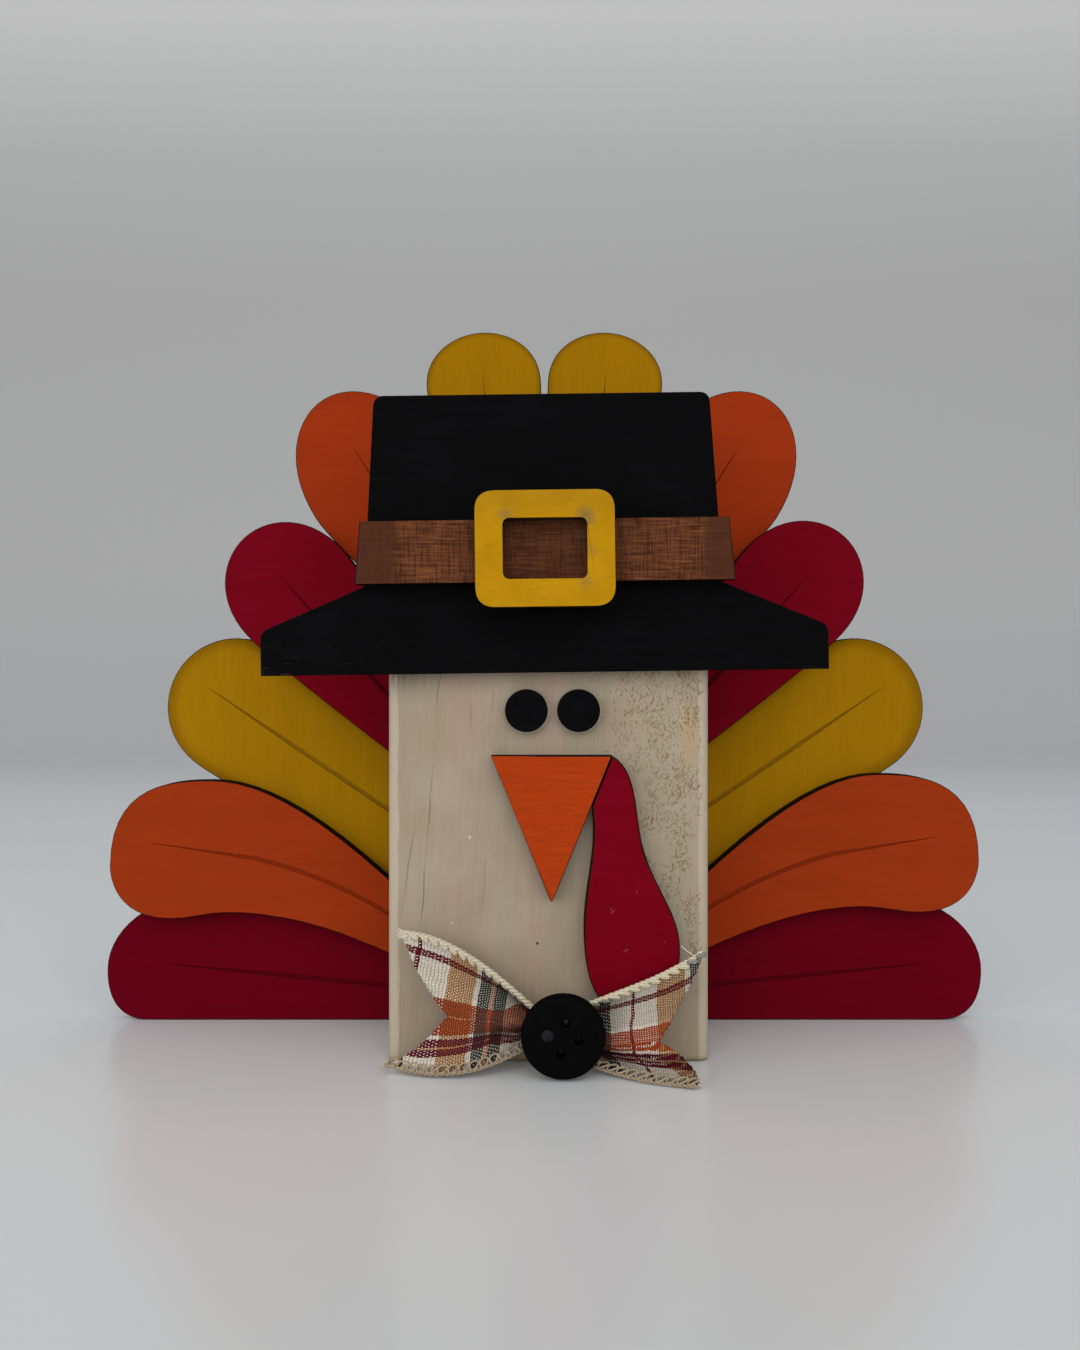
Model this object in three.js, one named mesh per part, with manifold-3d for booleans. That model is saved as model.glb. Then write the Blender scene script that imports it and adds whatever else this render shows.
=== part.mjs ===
// Thanksgiving turkey figure: a lumber block for a body, two layers of cut feathers glued to its back,
// and a hat, a face and a ribbon bow glued to its front. Millimetres, +Z up.
// The origin is the middle of the block's underside, and the face looks along -Y.
import * as THREE from "three";
import { mergeVertices } from "three/addons/utils/BufferGeometryUtils.js";
import Module from "manifold-3d";

const wasm = await Module();
wasm.setup();

// Body: a length of planed lumber with eased long edges
const blockWidth = 89;
const blockDepth = 38;
const blockHeight = 152;
const blockEdgeRadius = 3;
const blockEndChamfer = 0.8;
const blockEdgeSteps = 6;

// Sheet stock, and the glue between two pieces
const plateThickness = 6;
const eyeThickness = 3;
const glueFilm = 0.3;

// Hat: one plate of crown and brim, laid over the top of the block's front
const hatLap = 44;
const hatShift = -1;
const hatRoll = 0.75;
const hatHeight = 76;
const brimWidth = 155;
const brimEdge = 12;
const brimRise = 12;
const brimCornerRadius = 3.5;
const crownFootWidth = 98;
const crownTopWidth = 91.5;
const crownCornerRadius = 3;
const bandShift = 0.4;
const bandLift = 24.3;
const bandHeight = 16.8;
const bandFootWidth = 102.2;
const bandTopWidth = 99.2;
const buckleWidth = 37;
const buckleHeight = 30.8;
const buckleCornerRadius = 5.4;
const buckleBar = 7.4;
const buckleHoleRadius = 1.9;

// Face: laid out between the brim and the top of the bow
const faceShift = 0.8;
const eyeDiameter = 11.8;
const eyeSpacing = 14.4;
const eyeShift = 0.3;
const eyeDropShare = 0.118;
const beakWidth = 33;
const beakLength = 40.4;
const beakTipRadius = 0.6;
const beakDropShare = 0.255;
const wattleFoot = 15;
const wattleNeckWidth = 12.5;
const wattleBulbWidth = 26.2;
const wattleBulbHeight = 17.5;
const wattleClearance = 0.3;

// Shares of the wattle's outline. The tuck, where it leaves the beak's side, and the neck are parts of
// the beak's length. The others say how far each curve's handle reaches along the stretch it shapes.
const wattleTuck = 0.34;
const wattleNeck = 0.5;
const wattleShoulder = 0.13;
const wattleNape = 0.4;
const wattleSplay = 0.14;
const wattleSag = 0.44;
const wattleSwell = 0.34;
const wattleLean = 0.1;
const wattleFlank = 0.36;
const wattleCheek = 0.55;
const wattleJowl = 0.16;
const wattleWaist = 0.3;

// Bow: one plaid ribbon, pleated at the pinch, with a dovetail cut in each end. Each wing opens from the
// pinch: crown and droop bend the spacing of its folds there and at its end, and gather is how soon it opens.
const bowShift = 3.8;
const ribbonThickness = 0.6;
const bowTop = 18.8;
const pinchLength = 14;
const pleatCount = 1.5;
const pleatDepth = 13.2;
const pleatFade = 1.5;
const bowClearance = 0.5;
const notchAcross = 0.55;
const leftWing = {
  side: -1,
  topReach: 42.4,
  footReach: 48.5,
  notchDepth: 15.5,
  tipCurve: 1,
  pinchTop: 16,
  pinchFoot: 4.7,
  topHeight: 37.9,
  footHeight: 2.6,
  footSag: 2.4,
  topBow: 1.77,
  pinchCrown: 0.43,
  pinchDroop: 0.27,
  endCrown: 1.42,
  endDroop: 1.83,
  gather: 0.64,
  topStand: 3,
  footStand: 3,
  billow: 7,
  overWattle: false,
};
const rightWing = {
  side: 1,
  topReach: 38,
  footReach: 34.5,
  notchDepth: 9.5,
  tipCurve: 1.7,
  pinchTop: 19.2,
  pinchFoot: 2.3,
  topHeight: 34.2,
  footHeight: 1.3,
  footSag: 1,
  topBow: 0.77,
  pinchCrown: 0.68,
  pinchDroop: 0.85,
  endCrown: 0.76,
  endDroop: 1.21,
  gather: 0.51,
  topStand: 0,
  footStand: 15,
  billow: 1,
  overWattle: true,
};
const ribbonStepsAlong = 40;
const ribbonStepsAcross = 14;

// Button: a turned disc with a plain face, a soft shoulder and four thread holes
const buttonDiameter = 22.4;
const buttonThickness = 4.2;
const buttonShoulderWidth = 1.8;
const buttonShoulderHeight = 1.4;
const buttonShoulderSteps = 5;
const buttonEdge = 0.8;
const buttonFoot = 0.5;
const buttonHoleDiameter = 2.6;
const buttonHoleCircle = 8.4;
const buttonHoleSteps = 16;
const buttonTurn = 10;

// Feather fan: mirrored pairs about a middle line, all with the same rounded tip
const fanShift = -1;
const rootBulge = 2.5;
const rootTaper = 0.32;
const shoulderTaper = 0.15;
const tipShoulder = 0.63;
const tipRound = 0.5;
const veinWidth = 1.3;
const veinDepth = 0.5;
const veinTaper = 34;
const veinRootGap = 10;
const topPairGap = 2.4;

// Each straight pair: its layer, its root, the heading above level, and the sizes of the blade.
// A root is given out from the middle line, and up from the floor or down from the block's top. The right
// feather of a pair sits a little further out and up than its mirror place, by rightShift.
const bottomRed = {
  name: "bottom_red",
  layer: 2,
  rootOut: 4,
  rootUp: 14.5,
  rootHalfWidth: 11,
  heading: 0.5,
  length: 132,
  halfWidth: 24,
  tipLength: 33.8,
  footLength: 13,
  footRound: 0.4,
  footPull: 0.68,
  veinGap: 15.5,
  veinTipRise: 2.3,
  veinRootRise: -7.2,
  rightShift: [0, 0],
  colour: 0x5d0213,
};
const middleYellow = {
  name: "middle_yellow",
  layer: 2,
  rootOut: 12,
  rootUp: 39.7,
  rootHalfWidth: 13.2,
  heading: 34.5,
  length: 123.1,
  halfWidth: 21.6,
  tipLength: 22.5,
  veinGap: 9,
  veinTipRise: 0,
  veinRootRise: 0.8,
  rightShift: [0.6, 0],
  colour: 0x9a6e0c,
};
const upperRed = {
  name: "upper_red",
  layer: 1,
  rootOut: 12,
  rootUp: 62.4,
  rootHalfWidth: 5,
  heading: 47.4,
  length: 118.2,
  halfWidth: 19.7,
  tipLength: 22.6,
  veinGap: 14,
  veinTipRise: 0,
  veinRootRise: 0,
  rightShift: [0, 0.4],
  colour: 0x6e0416,
};
const upperOrange = {
  name: "upper_orange",
  layer: 2,
  rootOut: 14,
  rootDown: 46,
  rootHalfWidth: 5,
  heading: 57.8,
  length: 102.9,
  halfWidth: 21.7,
  tipLength: 30,
  veinGap: 16,
  veinTipRise: 0,
  veinRootRise: 0,
  rightShift: [1.1, 0],
  colour: 0x943111,
};
const topYellow = {
  name: "top_yellow",
  layer: 1,
  rootDown: 35,
  rootHalfWidth: 8,
  heading: 84.5,
  length: 95.6,
  halfWidth: 17.5,
  tipLength: 15.5,
  veinGap: 12,
  veinTipRise: 0,
  veinRootRise: 0,
  rightShift: [0, 0],
  colour: 0x996c04,
};
const straightPairs = [bottomRed, middleYellow, upperRed, upperOrange, topYellow];

// The lower orange pair bends: it climbs from its root, levels out and ends in a broad round tip.
// A pull is how far a curve's handle reaches, as a part of the stretch that it shapes.
const bend = {
  name: "lower_orange",
  layer: 1,
  rootOut: 16,
  rootFoot: 3.1,
  rootHeight: 9.7,
  crestOut: 102,
  crestUp: 75,
  tipOut: 133.2,
  tipUp: 48.6,
  heelOut: 105.8,
  heelUp: 33.5,
  veinTipOut: 122,
  veinTipUp: 56.1,
  veinRootOut: 20,
  veinRootUp: 13.2,
  rootPull: [0.506, 0.764],
  crestPull: [0.208, 0.345],
  tipPull: [1, 0.28],
  heelPull: [0.907, 0.213],
  footPull: 0.405,
  wave: 0.125,
  veinTipPull: [0.34, 0.07],
  veinRootPull: [0.36, 0.78],
  rightLift: 1.95,
  rightRootLift: -0.2,
  colour: 0x903214,
};

const curveSteps = 14;
const roundSteps = 48;
const cutMargin = 5;

const blockFront = blockDepth / 2;
const brimUp = blockHeight - hatLap;
const faceHeight = brimUp - bowTop;
const eyeUp = brimUp - eyeDropShare * faceHeight;
const beakTop = brimUp - beakDropShare * faceHeight;
const ribbonBack = bowClearance + ribbonThickness / 2;
const ribbonFront = ribbonBack + pleatDepth;

function paint(colour, roughness) {
  return new THREE.MeshStandardMaterial({ color: colour, roughness, metalness: 0 });
}

const blackPaint = paint(0x0e0e10, 0.7);

function named(name, geometry, material) {
  const mesh = new THREE.Mesh(geometry, material);
  mesh.name = name;
  return mesh;
}

function plate(shape, thickness) {
  return new THREE.ExtrudeGeometry(shape, {
    depth: thickness,
    bevelEnabled: false,
    curveSegments: curveSteps,
  });
}

// Solid of a closed geometry, for cuts
function solidOf(geometry) {
  const bare = geometry.clone();
  bare.deleteAttribute("normal");
  bare.deleteAttribute("uv");
  const merged = mergeVertices(bare);
  return new wasm.Manifold(
    new wasm.Mesh({
      numProp: 3,
      vertProperties: merged.getAttribute("position").array,
      triVerts: new Uint32Array(merged.index.array),
    }),
  );
}

function cut(geometry, tools) {
  let solid = solidOf(geometry);
  for (const tool of tools) solid = solid.subtract(solidOf(tool));
  const mesh = solid.getMesh();
  const made = new THREE.BufferGeometry();
  made.setAttribute("position", new THREE.BufferAttribute(mesh.vertProperties, 3));
  made.setIndex(new THREE.BufferAttribute(mesh.triVerts, 1));
  made.computeVertexNormals();
  return made;
}

// Closed outline through corner points, each corner rounded by its own radius
function roundedOutline(corners) {
  const shape = new THREE.Shape();
  corners.forEach(({ at, radius }, i) => {
    const before = corners.at(i - 1).at;
    const after = corners[(i + 1) % corners.length].at;
    const back = before.clone().sub(at).normalize();
    const on = after.clone().sub(at).normalize();
    const halfAngle = Math.acos(THREE.MathUtils.clamp(back.dot(on), -1, 1)) / 2;
    const trim = radius / Math.tan(halfAngle);
    const start = at.clone().addScaledVector(back, trim);
    const end = at.clone().addScaledVector(on, trim);
    if (i === 0) shape.moveTo(start.x, start.y);
    else shape.lineTo(start.x, start.y);
    if (radius > 0) shape.quadraticCurveTo(at.x, at.y, end.x, end.y);
  });
  shape.closePath();
  return shape;
}

function corner(x, y, radius = 0) {
  return { at: new THREE.Vector2(x, y), radius };
}

function centredRectangle(width, height, radius) {
  const x = width / 2;
  const y = height / 2;
  return roundedOutline([
    corner(-x, -y, radius),
    corner(x, -y, radius),
    corner(x, y, radius),
    corner(-x, y, radius),
  ]);
}

function bodyBlock() {
  const inset = 2 * blockEndChamfer;
  const section = centredRectangle(
    blockWidth - inset,
    blockDepth - inset,
    blockEdgeRadius - blockEndChamfer,
  );
  const geometry = new THREE.ExtrudeGeometry(section, {
    depth: blockHeight - inset,
    bevelSize: blockEndChamfer,
    bevelThickness: blockEndChamfer,
    bevelSegments: 1,
    curveSegments: blockEdgeSteps,
  });
  geometry.translate(0, 0, blockEndChamfer);
  return named("body_block", geometry, paint(0xa0907d, 0.85));
}

// A point of a pair's left feather, turned to the side asked for
function fanPoint(side, out, up) {
  return new THREE.Vector2(fanShift + side * out, up);
}

// Groove outline along a curve that runs from the feather's tip to its root: it starts as a point
function veinOutline(curve) {
  const steps = curve.isLineCurve ? 2 : curveSteps;
  const length = curve.getLength();
  const stations = [0, veinTaper / length];
  for (let i = 1; i <= steps; i++) {
    const share = i / steps;
    if (share > veinTaper / length) stations.push(share);
  }
  const upper = [];
  const lower = [];
  for (const share of stations) {
    const middle = curve.getPointAt(share);
    const along = curve.getTangentAt(share);
    const half = (veinWidth / 2) * Math.min(1, (share * length) / veinTaper);
    upper.push(new THREE.Vector2(middle.x - along.y * half, middle.y + along.x * half));
    if (half > 0) lower.unshift(new THREE.Vector2(middle.x + along.y * half, middle.y - along.x * half));
  }
  return new THREE.Shape([...upper, ...lower]);
}

function veinCutter(curve) {
  const groove = plate(veinOutline(curve), veinDepth + cutMargin);
  groove.translate(0, 0, plateThickness - veinDepth);
  return groove;
}

function floorCutter() {
  const reach = 4 * bottomRed.length;
  const cutter = new THREE.BoxGeometry(reach, reach, plateThickness + 2 * cutMargin);
  cutter.translate(0, -reach / 2, plateThickness / 2);
  return cutter;
}

// Straight feather: sides swell from the root to the shoulder, then close in a rounded tip. One that
// stands on the floor rounds off along it instead, and its side below the floor is cut away.
function straightFeather(pair, side, [shiftOut, shiftUp]) {
  const heading = THREE.MathUtils.degToRad(pair.heading);
  const shoulder = pair.length - pair.tipLength;
  const innerShoulder = pair.halfWidth * Math.sin(heading) - shoulder * Math.cos(heading);
  const rootOut = (pair.rootOut ?? topPairGap / 2 + innerShoulder) + shiftOut;
  const rootUp = (pair.rootUp ?? blockHeight - pair.rootDown) + shiftUp;
  const at = (along, across) =>
    fanPoint(
      side,
      rootOut + along * Math.cos(heading) - across * Math.sin(heading),
      rootUp + along * Math.sin(heading) + across * Math.cos(heading),
    );
  const curve = (shape, first, second, end) =>
    shape.bezierCurveTo(first.x, first.y, second.x, second.y, end.x, end.y);
  const { rootHalfWidth } = pair;
  const swell = rootHalfWidth + rootTaper * (pair.halfWidth - rootHalfWidth);
  const start = at(0, rootHalfWidth);
  const shape = new THREE.Shape();
  shape.moveTo(start.x, start.y);
  curve(
    shape,
    at(rootTaper * shoulder, swell),
    at(shoulder * (1 - shoulderTaper), pair.halfWidth),
    at(shoulder, pair.halfWidth),
  );
  curve(
    shape,
    at(shoulder + tipShoulder * pair.tipLength, pair.halfWidth),
    at(pair.length, tipRound * pair.halfWidth),
    at(pair.length, 0),
  );
  if (pair.footLength) {
    const floorAt = (along) => at(along, -(rootUp + along * Math.sin(heading)) / Math.cos(heading));
    const footEnd = pair.length - pair.footLength;
    curve(
      shape,
      at(pair.length, -pair.footRound * pair.halfWidth),
      floorAt(footEnd + pair.footPull * pair.footLength),
      floorAt(footEnd),
    );
    const under = at(shoulder, -pair.halfWidth);
    shape.lineTo(under.x, under.y);
  } else {
    curve(
      shape,
      at(pair.length, -tipRound * pair.halfWidth),
      at(shoulder + tipShoulder * pair.tipLength, -pair.halfWidth),
      at(shoulder, -pair.halfWidth),
    );
  }
  curve(
    shape,
    at(shoulder * (1 - shoulderTaper), -pair.halfWidth),
    at(rootTaper * shoulder, -swell),
    at(0, -rootHalfWidth),
  );
  curve(shape, at(-rootBulge, -rootHalfWidth), at(-rootBulge, rootHalfWidth), at(0, rootHalfWidth));
  const vein = new THREE.LineCurve(
    at(pair.length - pair.veinGap, pair.veinTipRise),
    at(veinRootGap, pair.veinRootRise),
  );
  return { shape, vein };
}

// Bent feather: its upper edge rises to a crest, and its lower edge waves back to the root
function bentFeather(side, lift, rootLift) {
  const at = (out, up) => fanPoint(side, out, up + lift);
  const atRoot = (out, up) => fanPoint(side, out, up + rootLift);
  const { rootOut, rootFoot, crestOut, crestUp, tipOut, tipUp, heelOut, heelUp } = bend;
  const rootTop = rootFoot + bend.rootHeight;
  const run = crestOut - rootOut;
  const climb = crestUp - rootTop;
  const nose = tipOut - crestOut;
  const drop = crestUp - tipUp;
  const chin = tipUp - heelUp;
  const under = heelOut - rootOut;
  const wave = bend.wave * (heelUp - rootFoot);
  const heelRun = bend.heelPull[0] * (tipOut - heelOut);
  const heelDip = (heelRun * wave) / (bend.heelPull[1] * under);
  const start = atRoot(rootOut, rootTop);
  const shape = new THREE.Shape();
  const curve = (first, second, end) =>
    shape.bezierCurveTo(first.x, first.y, second.x, second.y, end.x, end.y);
  shape.moveTo(start.x, start.y);
  curve(
    atRoot(rootOut + bend.rootPull[0] * run, rootTop + bend.rootPull[1] * climb),
    at(crestOut - bend.crestPull[0] * run, crestUp),
    at(crestOut, crestUp),
  );
  curve(
    at(crestOut + bend.crestPull[1] * nose, crestUp),
    at(tipOut, tipUp + bend.tipPull[0] * drop),
    at(tipOut, tipUp),
  );
  curve(
    at(tipOut, tipUp - bend.tipPull[1] * chin),
    at(heelOut + heelRun, heelUp - heelDip),
    at(heelOut, heelUp),
  );
  curve(
    at(heelOut - bend.heelPull[1] * under, heelUp + wave),
    atRoot(rootOut + bend.footPull * under, heelUp - wave),
    atRoot(rootOut, rootFoot),
  );
  const { veinTipOut, veinTipUp, veinRootOut, veinRootUp, veinTipPull, veinRootPull } = bend;
  const veinRun = veinTipOut - veinRootOut;
  const veinClimb = veinTipUp - veinRootUp;
  const vein = new THREE.CubicBezierCurve(
    at(veinTipOut, veinTipUp),
    at(veinTipOut - veinTipPull[0] * veinRun, veinTipUp - veinTipPull[1] * veinClimb),
    atRoot(veinRootOut + veinRootPull[0] * veinRun, veinRootUp + veinRootPull[1] * veinClimb),
    atRoot(veinRootOut, veinRootUp),
  );
  return { shape, vein };
}

// A feather's plate, standing in its layer behind the block
function featherMesh(pair, sideName, { shape, vein }) {
  const tools = [veinCutter(vein)];
  const lowest = Math.min(...shape.getPoints(curveSteps).map((point) => point.y));
  if (lowest < 0) tools.push(floorCutter());
  const mesh = named(
    `feather_${pair.name}_${sideName}`,
    cut(plate(shape, plateThickness), tools),
    paint(pair.colour, 0.6),
  );
  mesh.position.z = -blockDepth - pair.layer * (plateThickness + glueFilm);
  return mesh;
}

function featherFan() {
  const fan = new THREE.Group();
  for (const [sideName, side] of [["left", -1], ["right", 1]]) {
    const right = side > 0;
    for (const pair of straightPairs) {
      fan.add(featherMesh(pair, sideName, straightFeather(pair, side, right ? pair.rightShift : [0, 0])));
    }
    const lifts = right ? [bend.rightLift, bend.rightRootLift] : [0, 0];
    fan.add(featherMesh(bend, sideName, bentFeather(side, ...lifts)));
  }
  return fan;
}

function hatPlate() {
  const brim = brimWidth / 2;
  const foot = crownFootWidth / 2;
  const top = crownTopWidth / 2;
  const footUp = brimEdge + brimRise;
  const shape = roundedOutline([
    corner(-brim, 0),
    corner(brim, 0),
    corner(brim, brimEdge, brimCornerRadius),
    corner(foot, footUp),
    corner(top, hatHeight, crownCornerRadius),
    corner(-top, hatHeight, crownCornerRadius),
    corner(-foot, footUp),
    corner(-brim, brimEdge, brimCornerRadius),
  ]);
  return named("hat", plate(shape, plateThickness), blackPaint);
}

function hatBand() {
  const foot = bandFootWidth / 2;
  const top = bandTopWidth / 2;
  const shape = roundedOutline([
    corner(-foot, 0),
    corner(foot, 0),
    corner(top, bandHeight),
    corner(-top, bandHeight),
  ]);
  const mesh = named("hat_band", plate(shape, plateThickness), paint(0x56311e, 0.65));
  mesh.position.set(bandShift, bandLift, plateThickness + glueFilm);
  return mesh;
}

function hatBuckle() {
  const shape = centredRectangle(buckleWidth, buckleHeight, buckleCornerRadius);
  const inside = 2 * buckleBar;
  shape.holes.push(
    centredRectangle(buckleWidth - inside, buckleHeight - inside, buckleHoleRadius),
  );
  const mesh = named("hat_buckle", plate(shape, plateThickness), paint(0xb48412, 0.6));
  mesh.position.set(bandShift, bandLift + bandHeight / 2, 2 * (plateThickness + glueFilm));
  return mesh;
}

function hat() {
  const group = new THREE.Group();
  group.add(hatPlate(), hatBand(), hatBuckle());
  group.position.set(hatShift, brimUp, glueFilm);
  group.rotation.z = THREE.MathUtils.degToRad(hatRoll);
  return group;
}

function eye(sideName, side) {
  const outline = new THREE.Shape().absarc(0, 0, eyeDiameter / 2, 0, 2 * Math.PI);
  const geometry = new THREE.ExtrudeGeometry(outline, {
    depth: eyeThickness,
    bevelEnabled: false,
    curveSegments: roundSteps,
  });
  const mesh = named(`eye_${sideName}`, geometry, blackPaint);
  mesh.position.set(faceShift + eyeShift + (side * eyeSpacing) / 2, eyeUp, glueFilm);
  return mesh;
}

function beak() {
  const half = beakWidth / 2;
  const shape = roundedOutline([corner(-half, 0), corner(0, -beakLength, beakTipRadius), corner(half, 0)]);
  const mesh = named("beak", plate(shape, plateThickness), paint(0xa83911, 0.6));
  mesh.position.set(faceShift, beakTop, glueFilm);
  return mesh;
}

// Wattle: its straight edge follows the beak's right side, then it hangs to a round bulb behind the bow
function wattle() {
  const beakCorner = faceShift + beakWidth / 2;
  const sideSlope = beakWidth / 2 / beakLength;
  const beakSide = (up) => beakCorner + wattleClearance - (beakTop - up) * sideSlope;
  const top = beakTop - wattleClearance;
  const tuck = beakTop - wattleTuck * beakLength;
  const neckUp = beakTop - wattleNeck * beakLength;
  const neckDrop = top - neckUp;
  const neckLeft = beakSide(tuck) + wattleClearance;
  const neckRight = neckLeft + wattleNeckWidth;
  const shoulderOut = neckRight - wattleShoulder * wattleNeckWidth;
  const shoulderUp = top - wattleShoulder * neckDrop;
  const nape = wattleNape * neckDrop;
  const bulbUp = wattleFoot + wattleBulbHeight;
  const bulbLeft = neckLeft - wattleLean * wattleBulbWidth;
  const bulbRight = bulbLeft + wattleBulbWidth;
  const bulbMiddle = (bulbLeft + bulbRight) / 2;
  const flank = wattleFlank * wattleBulbWidth;
  const cheekUp = bulbUp - wattleCheek * wattleBulbHeight;
  const hang = neckUp - bulbUp;
  const sag = wattleSag * hang;
  const swell = wattleSwell * hang;
  const waist = wattleWaist * hang;
  const jowlUp = bulbUp + wattleJowl * hang;
  const shape = new THREE.Shape();
  const curve = (...handles) => shape.bezierCurveTo(...handles);
  shape.moveTo(beakSide(top), top);
  curve(shoulderOut, shoulderUp, neckRight - wattleSplay * nape, neckUp + nape, neckRight, neckUp);
  curve(neckRight + wattleSplay * sag, neckUp - sag, bulbRight, bulbUp + swell, bulbRight, bulbUp);
  curve(bulbRight, cheekUp, bulbMiddle + flank, wattleFoot, bulbMiddle, wattleFoot);
  curve(bulbMiddle - flank, wattleFoot, bulbLeft, cheekUp, bulbLeft, jowlUp);
  curve(bulbLeft, jowlUp + waist, neckLeft, neckUp - waist, neckLeft, neckUp);
  shape.lineTo(beakSide(tuck), tuck);
  shape.closePath();
  const mesh = named("wattle", plate(shape, plateThickness), paint(0x6d0215, 0.6));
  mesh.position.z = glueFilm;
  return mesh;
}

// Middle surface of the ribbon: along runs from -1 at the left end to 1 at the right end, and across
// runs from 0 at the upper edge to 1 at the lower edge. The third coordinate stands off the block.
function ribbonPoint(along, across) {
  const wing = along < 0 ? leftWing : rightWing;
  const cutIn =
    across < notchAcross ? across / notchAcross : ((1 - across) / (1 - notchAcross)) ** wing.tipCurve;
  const reach = THREE.MathUtils.lerp(wing.topReach, wing.footReach, across) - wing.notchDepth * cutIn;
  const share = Math.abs(along);
  const out = reach * share;
  const open = THREE.MathUtils.clamp((out - pinchLength / 2) / (reach - pinchLength / 2), 0, 1);
  const climb = THREE.MathUtils.smoothstep(out, pinchLength / 4, pinchLength / 2);
  const atPinch = (name) => THREE.MathUtils.lerp((leftWing[name] + rightWing[name]) / 2, wing[name], climb);
  const pinchTop = atPinch("pinchTop");
  const top = pinchTop + (wing.topHeight - pinchTop) * (1 - (1 - open) ** wing.topBow);
  const sag = 4 * wing.footSag * open * (1 - open);
  const foot = THREE.MathUtils.lerp(atPinch("pinchFoot"), wing.footHeight, open) - sag;
  const gathered = (1 - open) ** wing.gather;
  const crown = THREE.MathUtils.lerp(wing.endCrown, atPinch("pinchCrown"), gathered);
  const droop = THREE.MathUtils.lerp(wing.endDroop, atPinch("pinchDroop"), gathered);
  const hang = (1 - across ** crown) ** droop;
  const back = ribbonBack + (wing.overWattle ? climb * (plateThickness + glueFilm) : 0);
  const swing = ((ribbonFront - back) / 2) * (1 - open) ** pleatFade;
  const pleat = swing * Math.cos(2 * Math.PI * pleatCount * (across - 0.5));
  const flare = THREE.MathUtils.lerp(wing.topStand, wing.footStand, across ** 2) * open;
  const billow = wing.billow * across ** 2 * Math.sin(Math.PI * open);
  return new THREE.Vector3(
    bowShift + wing.side * out,
    THREE.MathUtils.lerp(foot, top, hang),
    (ribbonFront + back) / 2 + pleat + flare + billow,
  );
}

function ribbonNormal(along, across) {
  const step = 0.01;
  const alongRun = ribbonPoint(Math.min(1, along + step), across).sub(
    ribbonPoint(Math.max(-1, along - step), across),
  );
  const acrossRun = ribbonPoint(along, Math.min(1, across + step)).sub(
    ribbonPoint(along, Math.max(0, across - step)),
  );
  return acrossRun.cross(alongRun).normalize();
}

// Ribbon: the middle surface thickened into a closed sheet
function ribbon() {
  const positions = [];
  const triangles = [];
  const row = ribbonStepsAcross + 1;
  const sheet = row * (ribbonStepsAlong + 1);
  for (const face of [1, -1]) {
    for (let i = 0; i <= ribbonStepsAlong; i++) {
      for (let j = 0; j <= ribbonStepsAcross; j++) {
        const along = (2 * i) / ribbonStepsAlong - 1;
        const across = j / ribbonStepsAcross;
        const point = ribbonPoint(along, across);
        point.addScaledVector(ribbonNormal(along, across), (face * ribbonThickness) / 2);
        positions.push(point.x, point.y, point.z);
      }
    }
  }
  const quad = (a, b, c, d) => triangles.push(a, b, c, a, c, d);
  for (let i = 0; i < ribbonStepsAlong; i++) {
    for (let j = 0; j < ribbonStepsAcross; j++) {
      const a = i * row + j;
      quad(a, a + 1, a + row + 1, a + row);
      quad(sheet + a, sheet + a + row, sheet + a + row + 1, sheet + a + 1);
    }
  }
  for (let i = 0; i < ribbonStepsAlong; i++) {
    const top = i * row;
    const foot = top + ribbonStepsAcross;
    quad(top, top + row, sheet + top + row, sheet + top);
    quad(foot, sheet + foot, sheet + foot + row, foot + row);
  }
  const last = ribbonStepsAlong * row;
  for (let j = 0; j < ribbonStepsAcross; j++) {
    quad(j, sheet + j, sheet + j + 1, j + 1);
    quad(last + j, last + j + 1, sheet + last + j + 1, sheet + last + j);
  }
  const geometry = new THREE.BufferGeometry();
  geometry.setAttribute("position", new THREE.Float32BufferAttribute(positions, 3));
  geometry.setIndex(triangles);
  geometry.computeVertexNormals();
  return named("bow_ribbon", geometry, paint(0xb09878, 0.95));
}

function button() {
  const radius = buttonDiameter / 2;
  const shoulder = new THREE.EllipseCurve(
    radius - buttonShoulderWidth,
    buttonThickness - buttonShoulderHeight,
    buttonShoulderWidth,
    buttonShoulderHeight,
    0,
    Math.PI / 2,
  );
  const profile = [
    new THREE.Vector2(0, 0),
    new THREE.Vector2(radius - buttonEdge, 0),
    new THREE.Vector2(radius, buttonEdge),
    ...shoulder.getPoints(buttonShoulderSteps),
    new THREE.Vector2(0, buttonThickness),
  ];
  const holes = [0, 1, 2, 3].map((quarter) => {
    const angle = THREE.MathUtils.degToRad(buttonTurn + 90 * quarter);
    const hole = new THREE.CylinderGeometry(
      buttonHoleDiameter / 2,
      buttonHoleDiameter / 2,
      buttonThickness + 2 * cutMargin,
      buttonHoleSteps,
    );
    const out = buttonHoleCircle / 2;
    hole.translate(out * Math.cos(angle), buttonThickness / 2, out * Math.sin(angle));
    return hole;
  });
  const mesh = named("button", cut(new THREE.LatheGeometry(profile, roundSteps), holes), blackPaint);
  mesh.rotation.x = Math.PI / 2;
  mesh.position.set(bowShift, buttonFoot + radius, ribbonFront + ribbonThickness / 2 + bowClearance);
  return mesh;
}

// The front group lies on the block's front face: its x is the part's x, its y is up, its z stands off
const front = new THREE.Group();
front.rotation.x = Math.PI / 2;
front.position.y = -blockFront;
front.add(hat(), eye("left", -1), eye("right", 1), beak(), wattle(), ribbon(), button(), featherFan());

const turkey = new THREE.Group();
turkey.add(bodyBlock(), front);

export default turkey;
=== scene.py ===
"""Finish of a wooden turkey figure: painted plywood, whitewashed lumber, a plaid ribbon bow and a button."""
import math
import random

import bpy
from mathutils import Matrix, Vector, noise


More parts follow.
